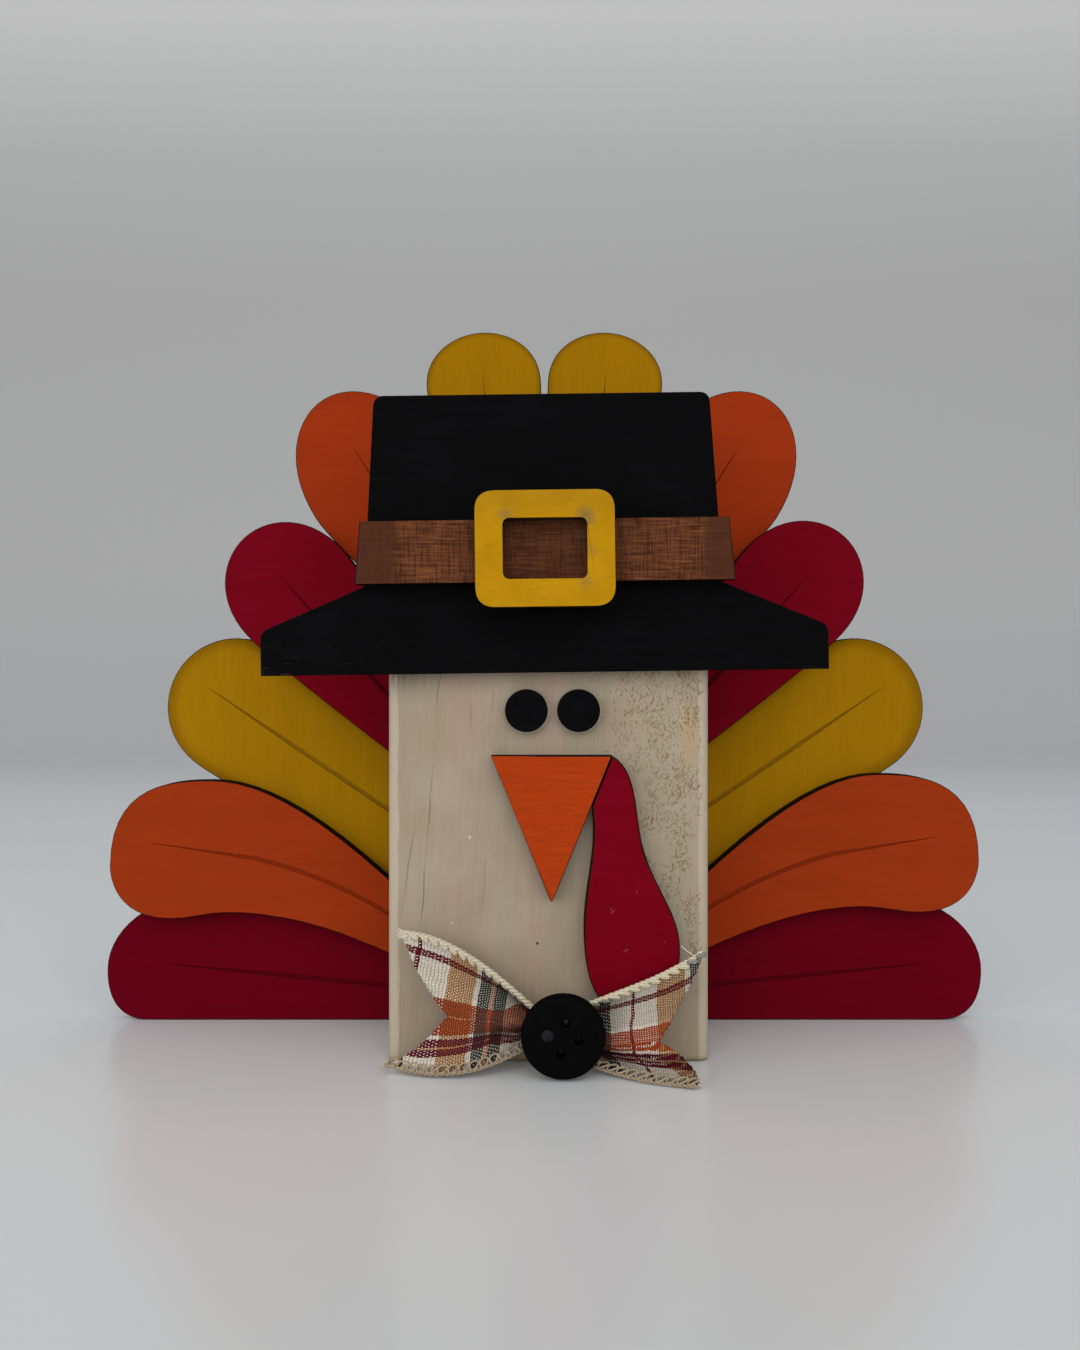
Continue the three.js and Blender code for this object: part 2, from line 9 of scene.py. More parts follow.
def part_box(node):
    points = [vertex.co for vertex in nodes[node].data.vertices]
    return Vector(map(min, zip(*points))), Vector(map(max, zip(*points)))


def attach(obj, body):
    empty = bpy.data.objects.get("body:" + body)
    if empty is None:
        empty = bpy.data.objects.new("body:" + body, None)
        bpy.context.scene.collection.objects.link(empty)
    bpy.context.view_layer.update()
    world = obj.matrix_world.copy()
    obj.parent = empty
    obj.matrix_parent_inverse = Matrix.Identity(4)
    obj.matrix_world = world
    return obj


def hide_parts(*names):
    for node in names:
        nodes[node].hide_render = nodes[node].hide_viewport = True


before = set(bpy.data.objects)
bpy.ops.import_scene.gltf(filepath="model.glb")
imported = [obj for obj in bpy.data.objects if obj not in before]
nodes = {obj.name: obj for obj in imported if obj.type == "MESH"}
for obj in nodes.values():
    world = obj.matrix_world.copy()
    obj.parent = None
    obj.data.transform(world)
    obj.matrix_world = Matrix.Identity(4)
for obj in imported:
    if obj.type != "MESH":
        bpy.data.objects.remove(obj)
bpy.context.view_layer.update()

MM = 0.001
random.seed(11)


# Small helpers

def srgb(red, green, blue):
    """A colour given in 8-bit screen values, as linear RGBA."""
    def linear(value):
        value = value / 255
        return value / 12.92 if value <= 0.04045 else ((value + 0.055) / 1.055) ** 2.4
    return (linear(red), linear(green), linear(blue), 1.0)


def clamp(value, low=0.0, high=1.0):
    return max(low, min(high, value))


def lerp(start, end, share):
    return start + (end - start) * share


def smoothstep(value, start, end):
    share = clamp((value - start) / (end - start))
    return share * share * (3 - 2 * share)


def middle_of(node):
    """The middle of a node's box, in mm."""
    return [0.5 * (low + high) / MM for low, high in zip(*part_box(node))]


def front_of(node):
    """The place along Y, in mm, of a node's front face."""
    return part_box(node)[0][1] / MM


def scaled(colour, share):
    """A colour made lighter or darker by a share."""
    return tuple(clamp(part * share) for part in colour[:3]) + (1.0,)


def placed(name, data):
    """Adds an object with this data to the scene."""
    piece = bpy.data.objects.new(name, data)
    bpy.context.collection.objects.link(piece)
    return piece


def smooth_mesh(name, verts, faces, material):
    """Adds a smooth mesh of one material to the scene."""
    mesh = bpy.data.meshes.new(name)
    mesh.from_pydata(verts, [], faces)
    mesh.materials.append(material)
    mesh.shade_smooth()
    return placed(name, mesh)


class Look:
    """A procedural surface: one Principled shader and the nodes that feed it, in object millimetres."""

    def __init__(self, name, roughness, specular):
        self.material = bpy.data.materials.new(name)
        self.material.use_nodes = True
        self.tree = self.material.node_tree
        self.shader = self.tree.nodes["Principled BSDF"]
        self.shader.inputs["Roughness"].default_value = roughness
        self.shader.inputs["Specular IOR Level"].default_value = specular
        coords = self.put("TexCoord")
        self.place = self.vector("SCALE", coords.outputs["Object"], scale=1 / MM)
        self.x, self.y, self.z = self.put("SeparateXYZ", self.place).outputs
        normal = self.put("SeparateXYZ", coords.outputs["Normal"])
        _, self.facing, self.upward = normal.outputs
        self.coat = (1.0, 1.0, 1.0, 1.0)

    def feed(self, socket, value):
        """Links a socket to another, or sets its own value."""
        if isinstance(value, bpy.types.NodeSocket):
            self.tree.links.new(value, socket)
        else:
            socket.default_value = value

    def put(self, kind, *inputs, **settings):
        """Adds a shader node with its first inputs and its settings."""
        made = self.tree.nodes.new("ShaderNode" + kind)
        for name, value in settings.items():
            setattr(made, name, value)
        for socket, value in zip(made.inputs, inputs):
            self.feed(socket, value)
        return made

    def math(self, operation, *inputs):
        return self.put("Math", *inputs, operation=operation).outputs[0]

    def vector(self, operation, *inputs, scale=None):
        made = self.put("VectorMath", *inputs, operation=operation)
        if scale is not None:
            made.inputs["Scale"].default_value = scale
        return made.outputs[1] if operation == "DISTANCE" else made.outputs[0]

    def stretch(self, x, y, z):
        return self.vector("MULTIPLY", self.place, (x, y, z))

    def noise(self, place, detail=3.0, roughness=0.55, distortion=0.0):
        made = self.put("TexNoise")
        values = {"Vector": place, "Scale": 1.0, "Detail": detail, "Roughness": roughness,
                  "Distortion": distortion}
        for name, value in values.items():
            self.feed(made.inputs[name], value)
        return made.outputs[0]

    def mottle(self, x, y, z, **kind):
        """Noise in mm, with each direction scaled by its own share."""
        return self.noise(self.stretch(x, y, z), **kind)

    def span(self, value, low, high, start=0.0, end=1.0, smooth=True):
        """Goes from start to end as value goes from low to high, and stays there beyond."""
        kind = "SMOOTHSTEP" if smooth else "LINEAR"
        made = self.put("MapRange", value, low, high, start, end, interpolation_type=kind)
        return made.outputs[0]

    def times(self, value, *others):
        for other in others:
            value = self.math("MULTIPLY", value, other)
        return value

    def plus(self, value, *others):
        for other in others:
            value = self.math("ADD", value, other)
        return value

    def minus(self, value, other):
        return self.math("SUBTRACT", value, other)

    def away(self, value, middle):
        """How far value lies from middle, on either side."""
        return self.math("ABSOLUTE", self.minus(value, middle))

    def line(self, value, middle, half, soft):
        """1 where value lies within half of middle, fading over soft."""
        return self.span(self.away(value, middle), half, half + soft, 1.0, 0.0)

    def mix(self, share, under, over, how="MIX"):
        """The colour over laid on the colour under, by a share."""
        made = self.put("Mix", data_type="RGBA", blend_type=how)
        self.feed(made.inputs[0], share)
        self.feed(made.inputs[6], under)
        self.feed(made.inputs[7], over)
        return made.outputs[2]

    def lay(self, share, tone):
        """Lays a tone over the coat so far, by a share."""
        self.coat = self.mix(share, self.coat, tone)

    def specks(self, spacing, size, rare):
        """Scattered dots: 1 inside a dot. Larger rare leaves fewer of them."""
        made = self.put("TexVoronoi")
        self.feed(made.inputs["Vector"], self.place)
        made.inputs["Scale"].default_value = 1 / spacing
        chance = self.put("SeparateColor", made.outputs["Color"]).outputs[0]
        dot = self.span(made.outputs["Distance"], 0.5 * size / spacing, size / spacing, 1.0, 0.0)
        return self.times(dot, self.span(chance, rare, rare + 0.01))

    def bump(self, height, depth, strength=1.0):
        """Raises the surface by height, to a depth in mm."""
        made = self.put("Bump")
        made.inputs["Strength"].default_value = strength
        made.inputs["Distance"].default_value = depth * MM
        self.feed(made.inputs["Height"], height)
        self.feed(self.shader.inputs["Normal"], made.outputs[0])

    def colour(self, value):
        """Sets the colour and gives back the finished material."""
        self.feed(self.shader.inputs["Base Color"], value)
        return self.material

    def ramp(self, share, stops, kind="LINEAR"):
        """The colour at a share along a list of places and their colours."""
        made = self.put("ValToRGB", share)
        made.color_ramp.interpolation = kind
        elements = made.color_ramp.elements
        for index, (place, tone) in enumerate(stops):
            stop = elements[index] if index < 2 else elements.new(1.0)
            stop.position = place
            stop.color = tone
        return made.outputs[0]

    def walls(self, start=0.78, end=0.985):
        """1 on the cut edges of a flat piece that faces along Y, from its rounded rim on."""
        return self.span(self.math("ABSOLUTE", self.facing), start, end, 1.0, 0.0)

    def plies(self, dark, light):
        """The streaks along the cut edge of plywood."""
        layers = self.mottle(0.12, 1.6, 0.12)
        return self.mix(self.span(layers, 0.35, 0.7), dark, light)

    def spot(self, centre, radius, soft):
        """1 within radius mm of a point, fading over soft."""
        return self.span(self.vector("DISTANCE", self.place, centre), radius, radius + soft, 1.0, 0.0)

    def rim_share(self, root_out, root_up, heading, root_half, half, length, tip):
        """0 along the middle of a straight feather and 1 at its outline, on both sides of the fan."""
        turn = math.radians(heading)
        out = self.minus(self.away(self.x, FAN_X), root_out)
        up = self.minus(self.z, root_up)
        along = self.plus(self.times(out, math.cos(turn)), self.times(up, math.sin(turn)))
        beside = self.minus(self.times(up, math.cos(turn)), self.times(out, math.sin(turn)))
        wide = self.span(along, 0.0, length - tip, root_half, half, smooth=False)
        past = self.math("MAXIMUM", self.minus(along, length - tip), 0.0)
        past = self.math("DIVIDE", past, tip)
        beside = self.math("DIVIDE", beside, wide)
        return self.math("SQRT", self.plus(self.times(beside, beside), self.times(past, past)))


# Painted plywood

FAN_X = -1.0
BURNT = srgb(15, 9, 7)
CHARRED = srgb(36, 23, 15)


def painted(name, colour, grain, streak=0.08, fleck=0.0, blade=None):
    """Brushed paint over plywood, with laser-browned rims and edges. A blade is paler along its middle."""
    look = Look(name, roughness=0.62, specular=0.015)

    def brushed(along, deep, across, **kind):
        shares = (along, deep, across) if grain == "x" else (across, deep, along)
        return look.mottle(*shares, **kind)

    streaks = brushed(0.09, 1.0, 2.3, detail=4.0, roughness=0.62)
    patches = brushed(0.025, 0.1, 0.13)
    darker = scaled(colour, 1 - streak)
    lighter = scaled(colour, 1 + streak)
    look.coat = look.mix(look.span(streaks, 0.28, 0.72), darker, lighter)
    look.lay(look.span(patches, 0.3, 0.7, 0.1, 0.0), scaled(colour, 0.3))
    if fleck:
        strokes = brushed(0.45, 1.0, 2.8)
        look.lay(look.span(strokes, 0.52, 0.68, 0.0, fleck), scaled(colour, 1.45))
        look.lay(look.span(strokes, 0.30, 0.46, fleck, 0.0), scaled(colour, 0.6))
    if blade:
        start, *outline = blade
        shade = look.span(look.rim_share(*outline), start, 1.0, 0.0, 0.5)
        look.lay(shade, scaled(colour, 0.35))
    look.lay(look.walls(0.86, 0.995), look.plies(BURNT, CHARRED))
    look.bump(streaks, 0.05)
    return look.colour(look.coat)


def engraved(name, colour):
    """The scorched groove of a vein, with the fine cross lines that the burning leaves."""
    look = Look(name, roughness=0.75, specular=0.03)
    hatch = look.mottle(2.2, 1.0, 2.2, detail=2.0)
    look.bump(hatch, 0.05)
    return look.colour(look.mix(look.span(hatch, 0.35, 0.65), scaled(colour, 0.85), scaled(colour, 1.18)))


# Each pair of feathers: the slot, the paint, the vein's tone and the direction of the grain
RED_VEIN = srgb(80, 1, 15)
ORANGE_VEIN = srgb(124, 40, 12)
YELLOW_VEIN = srgb(126, 90, 8)
FEATHERS = {
    "bottom_red": ("red_paint", srgb(96, 2, 20), RED_VEIN, "x"),
    "upper_red": ("red_paint", srgb(110, 4, 22), RED_VEIN, "x"),
    "lower_orange": ("orange_paint", srgb(146, 50, 17), ORANGE_VEIN, "x"),
    "upper_orange": ("orange_paint", srgb(150, 49, 16), ORANGE_VEIN, "x"),
    "middle_yellow": ("yellow_paint", srgb(154, 110, 6), YELLOW_VEIN, "z"),
    "top_yellow": ("yellow_paint", srgb(154, 109, 5), YELLOW_VEIN, "z"),
}
# Straight feathers that darken towards their outline: share of the half width at which the shade starts,
# root out and up, heading, half widths, length and tip
BLADES = {
    "middle_yellow": (0.80, 12.0, 39.7, 34.5, 13.2, 21.6, 123.1, 22.5),
    "top_yellow": (0.88, 10.9, 117.0, 84.5, 8.0, 17.5, 95.6, 15.5),
}


# Whitewashed block

BLOCK_FRONT = front_of("body_block")
# Fine dark lines of the grain: x in mm at the height z, the lean, the lowest and highest z, and the strength
SEAMS = [(-30.3, 105.6, 0.076, 36.0, 118.0, 0.55), (-21.5, 97.0, 0.03, 88.0, 112.0, 0.40),
         (-37.6, 61.6, 0.16, 38.0, 66.0, 0.45), (-17.4, 58.0, 0.06, 36.0, 60.0, 0.25),
         (-15.4, 100.0, 0.02, 94.0, 110.0, 0.25)]
SEAM_FADE = 8.0
GRAIN_LEAN = 0.06
# Pale dots on the front: x and z in mm, and the size
DOTS = [(-21.8, 62.3, 0.55), (-26.8, 38.5, 0.4)]
DARK_DOT = (-3.1, BLOCK_FRONT, 32.9)
PLANED_EDGE = 42.0
EYE_RING_RADIUS = 6.05
PITH = (18.0, 62.0, 0.0)


def seam_lines(look):
    """The strength of the fine, wavering lines of the grain at a place, 0 between them."""
    waver = look.times(look.minus(look.mottle(0.02, 0.02, 0.07), 0.5), 2.2)
    seams = 0.0
    for x, z, lean, low, high, strength in SEAMS:
        place = look.minus(look.minus(look.x, waver), look.times(look.minus(look.z, z), lean))
        run = look.times(look.span(look.z, low, low + SEAM_FADE),
                         look.span(look.z, high - SEAM_FADE, high, 1.0, 0.0))
        seams = look.math("MAXIMUM", seams, look.times(look.line(place, x, 0.04, 0.24), run, strength))
    return seams


def eye_ring(look, eye):
    """1 along a thin pale rim that shows just outside the lower right of an eye."""
    centre_x, _, centre_z = middle_of(eye)
    out_x = look.minus(look.x, centre_x)
    out_z = look.minus(look.z, centre_z)
    away = look.math("SQRT", look.plus(look.times(out_x, out_x), look.times(out_z, out_z)))
    below = look.span(look.minus(look.times(out_x, 0.6), look.times(out_z, 0.8)), -1.0, 4.0)
    return look.times(look.line(away, EYE_RING_RADIUS, 0.12, 0.25), below)


def sawn_wood(look):
    """The growth rings and pores of a sawn end."""
    away = look.vector("DISTANCE", look.stretch(1.0, 1.0, 0.0), PITH)
    wobble = look.plus(away, look.times(look.mottle(0.12, 0.12, 0.12), 5.0))
    growth = look.span(look.math("SINE", look.times(wobble, 2.4)), -0.6, 0.95)
    pores = look.mottle(2.2, 2.2, 2.2, detail=4.0)
    sawn = look.mix(growth, srgb(160, 142, 116), srgb(143, 122, 94))
    return look.mix(look.span(pores, 0.45, 0.7, 0.0, 0.4), sawn, srgb(116, 96, 72))


def lumber():
    """Pale lumber with leaning vertical grain, a thin whitewash, a torn patch at the right and sawn ends."""
    look = Look("whitewashed_lumber", roughness=0.82, specular=0.06)
    front = look.span(look.facing, -0.9, -0.5, 1.0, 0.0)
    upright = look.minus(look.x, look.times(look.z, GRAIN_LEAN))
    leaned = look.put("CombineXYZ", upright, look.y, look.z).outputs[0]

    def grain(across, along, detail):
        place = look.vector("MULTIPLY", leaned, (across, across, along))
        return look.noise(place, detail=detail, roughness=0.62)

    fibres = grain(1.7, 0.05, 5.0)
    bands = grain(0.10, 0.005, 2.0)
    wash = look.mottle(0.05, 0.05, 0.05)
    look.coat = look.mix(look.span(bands, 0.34, 0.66), srgb(160, 141, 124), srgb(153, 142, 121))
    look.lay(look.span(fibres, 0.25, 0.70, 0.30, 0.0), srgb(132, 113, 91))
    look.lay(look.span(wash, 0.4, 0.7, 0.0, 0.35), srgb(174, 163, 148))
    broken = look.span(grain(0.3, 0.06, 2.0), 0.36, 0.56)
    seams = look.times(seam_lines(look), broken, front)
    look.lay(seams, srgb(92, 78, 64))
    right = look.times(look.span(look.x, 15.0, 29.0), look.span(look.z, 30.0, 72.0, 0.35, 1.0), front)
    look.lay(look.times(right, 0.5), srgb(168, 155, 136))
    stain = look.times(look.line(look.x, 39.2, 0.8, 4.0), look.line(look.z, 91.0, 3.0, 9.0),
                       look.span(wash, 0.35, 0.6), front)
    look.lay(look.times(stain, 0.34), srgb(184, 146, 92))
    patch = look.span(look.mottle(0.3, 0.3, 0.16, detail=4.0), 0.40, 0.64)
    look.lay(look.times(patch, right, 0.12), srgb(130, 108, 76))
    # Painted shade: the block darkens towards the bottom, where the bow and the floor shade it.
    look.lay(look.span(look.z, 8.0, 52.0, 0.18, 0.0), srgb(112, 94, 70))
    uneven = look.times(look.mottle(0.5, 0.5, 0.12), 1.4)
    side = look.plus(look.math("ABSOLUTE", look.x), uneven)
    look.lay(look.span(side, PLANED_EDGE, PLANED_EDGE + 0.6, 0.0, 0.6), srgb(184, 172, 153))
    chips = look.span(look.mottle(0.9, 0.9, 0.22, detail=5.0), 0.56, 0.70)
    chipped = look.times(look.line(side, PLANED_EDGE + 0.2, 0.1, 0.9), chips, 0.4)
    look.lay(chipped, srgb(120, 100, 72))
    smudge = look.times(look.span(look.x, -41.0, -24.0, 1.0, 0.0), look.span(look.z, 98.0, 108.0),
                        look.span(fibres, 0.35, 0.62), front)
    look.lay(look.times(smudge, 0.6), srgb(98, 90, 80))
    for eye in ("eye_left", "eye_right"):
        look.lay(look.times(eye_ring(look, eye), front, 0.6), srgb(196, 184, 160))
    ends = look.span(look.math("ABSOLUTE", look.upward), 0.75, 0.9)
    look.lay(ends, sawn_wood(look))
    worn = look.times(look.span(look.z, 0.4, 2.2, 1.0, 0.0), look.span(fibres, 0.3, 0.6, 0.5, 1.0))
    look.lay(look.times(worn, 0.6), srgb(104, 92, 58))
    for x, z, size in DOTS:
        look.lay(look.spot((x, BLOCK_FRONT, z), 0.1 * size, size), srgb(198, 190, 177))
    look.lay(look.spot(DARK_DOT, 0.25, 0.3), srgb(70, 54, 40))
    relief = look.plus(look.times(fibres, 0.5), look.times(seams, -0.8), look.times(patch, right, 0.3))
    look.bump(relief, 0.22)
    return look.colour(look.coat)


# Hat, band, buckle and face

def black_paint(name):
    """Matt black paint with faint brush streaks, dust and a few pale scuffs."""
    look = Look(name, roughness=0.7, specular=0.02)
    streaks = look.mottle(0.05, 1.0, 1.3, detail=4.0, roughness=0.6)
    patches = look.mottle(0.06, 0.06, 0.1, detail=2.0)
    look.coat = look.mix(look.span(streaks, 0.35, 0.75), srgb(7, 7, 8), srgb(10, 10, 12))
    look.lay(look.span(patches, 0.5, 0.75, 0.0, 0.4), srgb(15, 15, 17))
    scuff = look.mottle(0.35, 1.0, 2.6, detail=5.0, distortion=0.8)
    low = look.times(look.span(look.z, 113.0, 118.0, 1.0, 0.0), look.span(look.x, -56.0, -40.0, 1.0, 0.25))
    look.lay(look.times(look.span(scuff, 0.62, 0.70), low, 0.6), srgb(58, 55, 53))
    look.lay(look.specks(9.0, 0.24, 0.78), srgb(128, 126, 124))
    nap = look.mottle(1.4, 1.4, 1.4, detail=4.0)
    chipped = look.times(look.walls(), look.span(nap, 0.58, 0.7, 0.0, 0.5))
    look.lay(chipped, srgb(92, 70, 50))
    look.bump(streaks, 0.03)
    return look.colour(look.coat)


BAND_MIDDLE = 0.4
BAND_HALF = 50.0


def band_stain():
    """Brown stain rubbed over a cross-hatched face, plainer and darker towards both ends, with painted shade
    around the buckle.
    """
    look = Look("brown_stain", roughness=0.6, specular=0.05)
    weft = look.mottle(0.16, 1.0, 2.6, detail=4.0, roughness=0.6)
    warp = look.mottle(2.6, 1.0, 0.16, detail=4.0, roughness=0.6)
    patches = look.mottle(0.08, 0.1, 0.05, detail=2.0)
    hatch = look.plus(look.times(weft, 0.5), look.times(warp, 0.5))
    look.coat = look.mix(look.span(hatch, 0.40, 0.60), srgb(62, 31, 16), srgb(104, 60, 34))
    streak = look.times(look.span(weft, 0.56, 0.72), look.span(patches, 0.4, 0.6))
    look.lay(look.times(streak, 0.55), srgb(136, 86, 54))
    ends = look.span(look.away(look.x, BAND_MIDDLE), BAND_HALF - 10.5, BAND_HALF - 6.5)
    look.lay(look.times(ends, 0.8), srgb(68, 36, 22))
    # Painted shade: the band darkens around the buckle and within its opening.
    near = look.span(look.math("ABSOLUTE", look.x), 14.0, 24.0, 1.0, 0.0)
    look.lay(look.times(near, 0.4), srgb(58, 29, 17))
    look.lay(look.walls(), BURNT)
    look.bump(hatch, 0.08)
    return look.colour(look.coat)


# Smudges on the buckle: mm right of and above its middle, the size and the strength
SMUDGES = [(-10.6, 8.6, 3.4, 0.45), (10.8, 8.4, 4.0, 0.7), (11.6, -1.0, 3.0, 0.25), (10.8, -8.6, 3.0, 0.35)]


def buckle_paint():
    """Bright ochre paint with short grain flecks, soft grey smudges at the inner corners, and painted shade
    on the top bar.
    """
    look = Look("buckle_paint", roughness=0.6, specular=0.02)
    middle_x, _, middle_z = middle_of("hat_buckle")
    front = front_of("hat_buckle")
    flecks = look.mottle(0.28, 1.0, 2.2, roughness=0.6)
    patches = look.mottle(0.1, 0.1, 0.1, detail=2.0)
    look.coat = look.mix(look.span(patches, 0.3, 0.7), srgb(168, 122, 8), srgb(180, 132, 12))
    look.lay(look.span(flecks, 0.60, 0.70, 0.0, 0.6), srgb(132, 92, 12))
    ragged = look.times(look.mottle(0.7, 0.7, 0.7), 3.0)
    for right, up, size, strength in SMUDGES:
        spot = (middle_x + right, front, middle_z + up)
        away = look.plus(look.vector("DISTANCE", look.place, spot), ragged)
        look.lay(look.span(away, 1.5, 1.5 + size, strength, 0.0), srgb(104, 92, 62))
    # Painted shade: the buckle's top bar is darker.
    top_bar_shade = look.span(look.z, middle_z + 8.0, middle_z + 13.0, 0.0, 0.3)
    look.lay(top_bar_shade, srgb(140, 104, 24))
    look.lay(look.walls(), look.plies(CHARRED, srgb(74, 50, 20)))
    look.bump(flecks, 0.06)
    return look.colour(look.coat)


def button_plastic():
    """Matt black plastic with a fine moulded texture and a little dust."""
    look = Look("black_plastic", roughness=0.6, specular=0.012)
    grit = look.mottle(2.8, 2.8, 2.8, detail=4.0, roughness=0.65)
    look.coat = look.mix(look.span(grit, 0.35, 0.7), srgb(5, 5, 6), srgb(11, 11, 12))
    look.lay(look.specks(2.6, 0.14, 0.8), srgb(64, 62, 60))
    look.bump(grit, 0.05)
    return look.colour(look.coat)


def glue(name, dark, light):
    """Beads of set glue; a dark one also stands as painted shade in an empty hole."""
    look = Look(name, roughness=0.4, specular=0.08)
    cloudy = look.mottle(1.2, 1.2, 1.2)
    look.bump(cloudy, 0.06)
    return look.colour(look.mix(look.span(cloudy, 0.35, 0.7), dark, light))


# The solid pieces with their finishes

SHARP = math.radians(32)
VEIN_DEPTH = 0.6
PLATE_DEPTH = 2.0


def ease(piece, width):
    """Rounds the outline of a flat piece by width mm, front and back, and leaves its engraved vein sharp."""
    mesh = piece.data
    spots = [tuple(round(part / MM, 3) for part in vertex.co) for vertex in mesh.vertices]
    beside = {}
    for face in mesh.polygons:
        deep = [spots[v][1] for v in face.vertices]
        for key in face.edge_keys:
            place = frozenset(spots[v] for v in key)
            beside.setdefault(place, []).append((face.normal.copy(), max(deep) - min(deep)))
    weights = mesh.attributes.new("bevel_weight_edge", "FLOAT", "EDGE")
    for edge in mesh.edges:
        faces = beside[frozenset(spots[v] for v in edge.vertices)]
        facing = [abs(normal.y) for normal, _ in faces]
        outline = min(facing) < 0.2 and max(facing) > 0.9 and max(deep for _, deep in faces) > PLATE_DEPTH
        weights.data[edge.index].value = 1.0 if outline else 0.0
        if len(faces) == 2 and not outline:
            edge.use_edge_sharp = faces[0][0].angle(faces[1][0], 0.0) > SHARP
    joined = piece.modifiers.new("joined", "WELD")
    joined.merge_threshold = 0.001 * MM
    rim = piece.modifiers.new("rim", "BEVEL")
    rim.limit_method = "WEIGHT"
    rim.width = width * MM
    rim.segments = 2
    rim.harden_normals = True
    rim.use_clamp_overlap = False


def dress(name, material, eased=0.0):
    """Gives a solid piece its finish, and rounds its outline by eased mm."""
    piece = nodes[name]
    piece.data.materials.clear()
    piece.data.materials.append(material)
    with bpy.context.temp_override(active_object=piece, object=piece):
        bpy.ops.mesh.customdata_custom_splitnormals_clear()
    piece.data.shade_smooth()
    piece.data.set_sharp_from_angle(angle=SHARP)
    if eased:
        ease(piece, eased)


def groove(piece, front, material):
    """Gives the engraved vein of a feather, the faces just behind its front, their own finish."""
    piece.data.materials.append(material)
    for face in piece.data.polygons:
        depths = [piece.data.vertices[v].co.y / MM - front for v in face.vertices]
        if 0.1 < max(depths) < VEIN_DEPTH:
            face.material_index = 1


for pair, (slot, colour, vein, grain) in FEATHERS.items():
    finish = painted(pair, colour, grain, streak=0.05 if grain == "z" else 0.065, blade=BLADES.get(pair))
    vein_finish = engraved(pair + "_vein", vein)
    for side in ("left", "right"):
        name = "feather_" + pair + "_" + side
        dress(name, finish, eased=0.4)
        groove(nodes[name], front_of(name), vein_finish)

dress("body_block", lumber())
dress("hat", black_paint("hat_paint"), eased=0.3)
eye_black = black_paint("eye_paint")
for eye in ("eye_left", "eye_right"):
    dress(eye, eye_black, eased=0.25)
dress("hat_band", band_stain(), eased=0.3)
dress("hat_buckle", buckle_paint(), eased=0.12)
beak_paint = painted("beak_paint", srgb(162, 55, 15), "x", streak=0.1, fleck=0.28)
dress("beak", beak_paint, eased=0.3)
dress("wattle", painted("wattle_paint", srgb(110, 3, 22), "x"), eased=0.55)
dress("button", button_plastic())


# Plaid ribbon

# Flat size of the ribbon, the pitch of its yarns along and across, and the plaid's repeat, in mm
RIBBON_WIDTH = 38.0
YARN_RUN = 0.64
YARN_WIDTH = 0.465
REPEAT = 28.3
CHART_UNIT = 100.0
CREAM = srgb(226, 217, 202)
MAROON = srgb(98, 8, 34)
ORANGE = srgb(150, 58, 20)
PEACH = srgb(190, 140, 110)
TAN = srgb(174, 126, 74)
ROSE = srgb(190, 136, 112)
CHARCOAL = srgb(50, 58, 54)
# Start of each stripe in mm from the upper edge, and its yarn
ACROSS = [(0.0, CREAM), (3.95, MAROON), (4.9, PEACH), (5.1, MAROON), (6.05, CREAM), (16.2, ORANGE),
          (20.7, PEACH), (21.0, ORANGE), (25.4, CREAM), (26.6, MAROON), (29.2, PEACH), (29.8, MAROON),
          (32.4, CREAM)]
# Start of each stripe in mm along one repeat, and its yarn
ALONG = [(0.0, TAN), (0.9, ROSE), (1.3, TAN), (3.7, CREAM), (5.0, CHARCOAL), (8.0, ROSE), (9.2, CHARCOAL),
         (12.4, CREAM), (18.2, MAROON), (19.0, CREAM), (24.6, TAN), (27.0, ROSE), (27.4, TAN)]


def stripes(look, place, total, bands):
    """The yarn colour at a place along a list of stripes."""
    stops = [(start / total, yarn) for start, yarn in bands]
    return look.ramp(look.math("DIVIDE", place, total), stops, "CONSTANT")


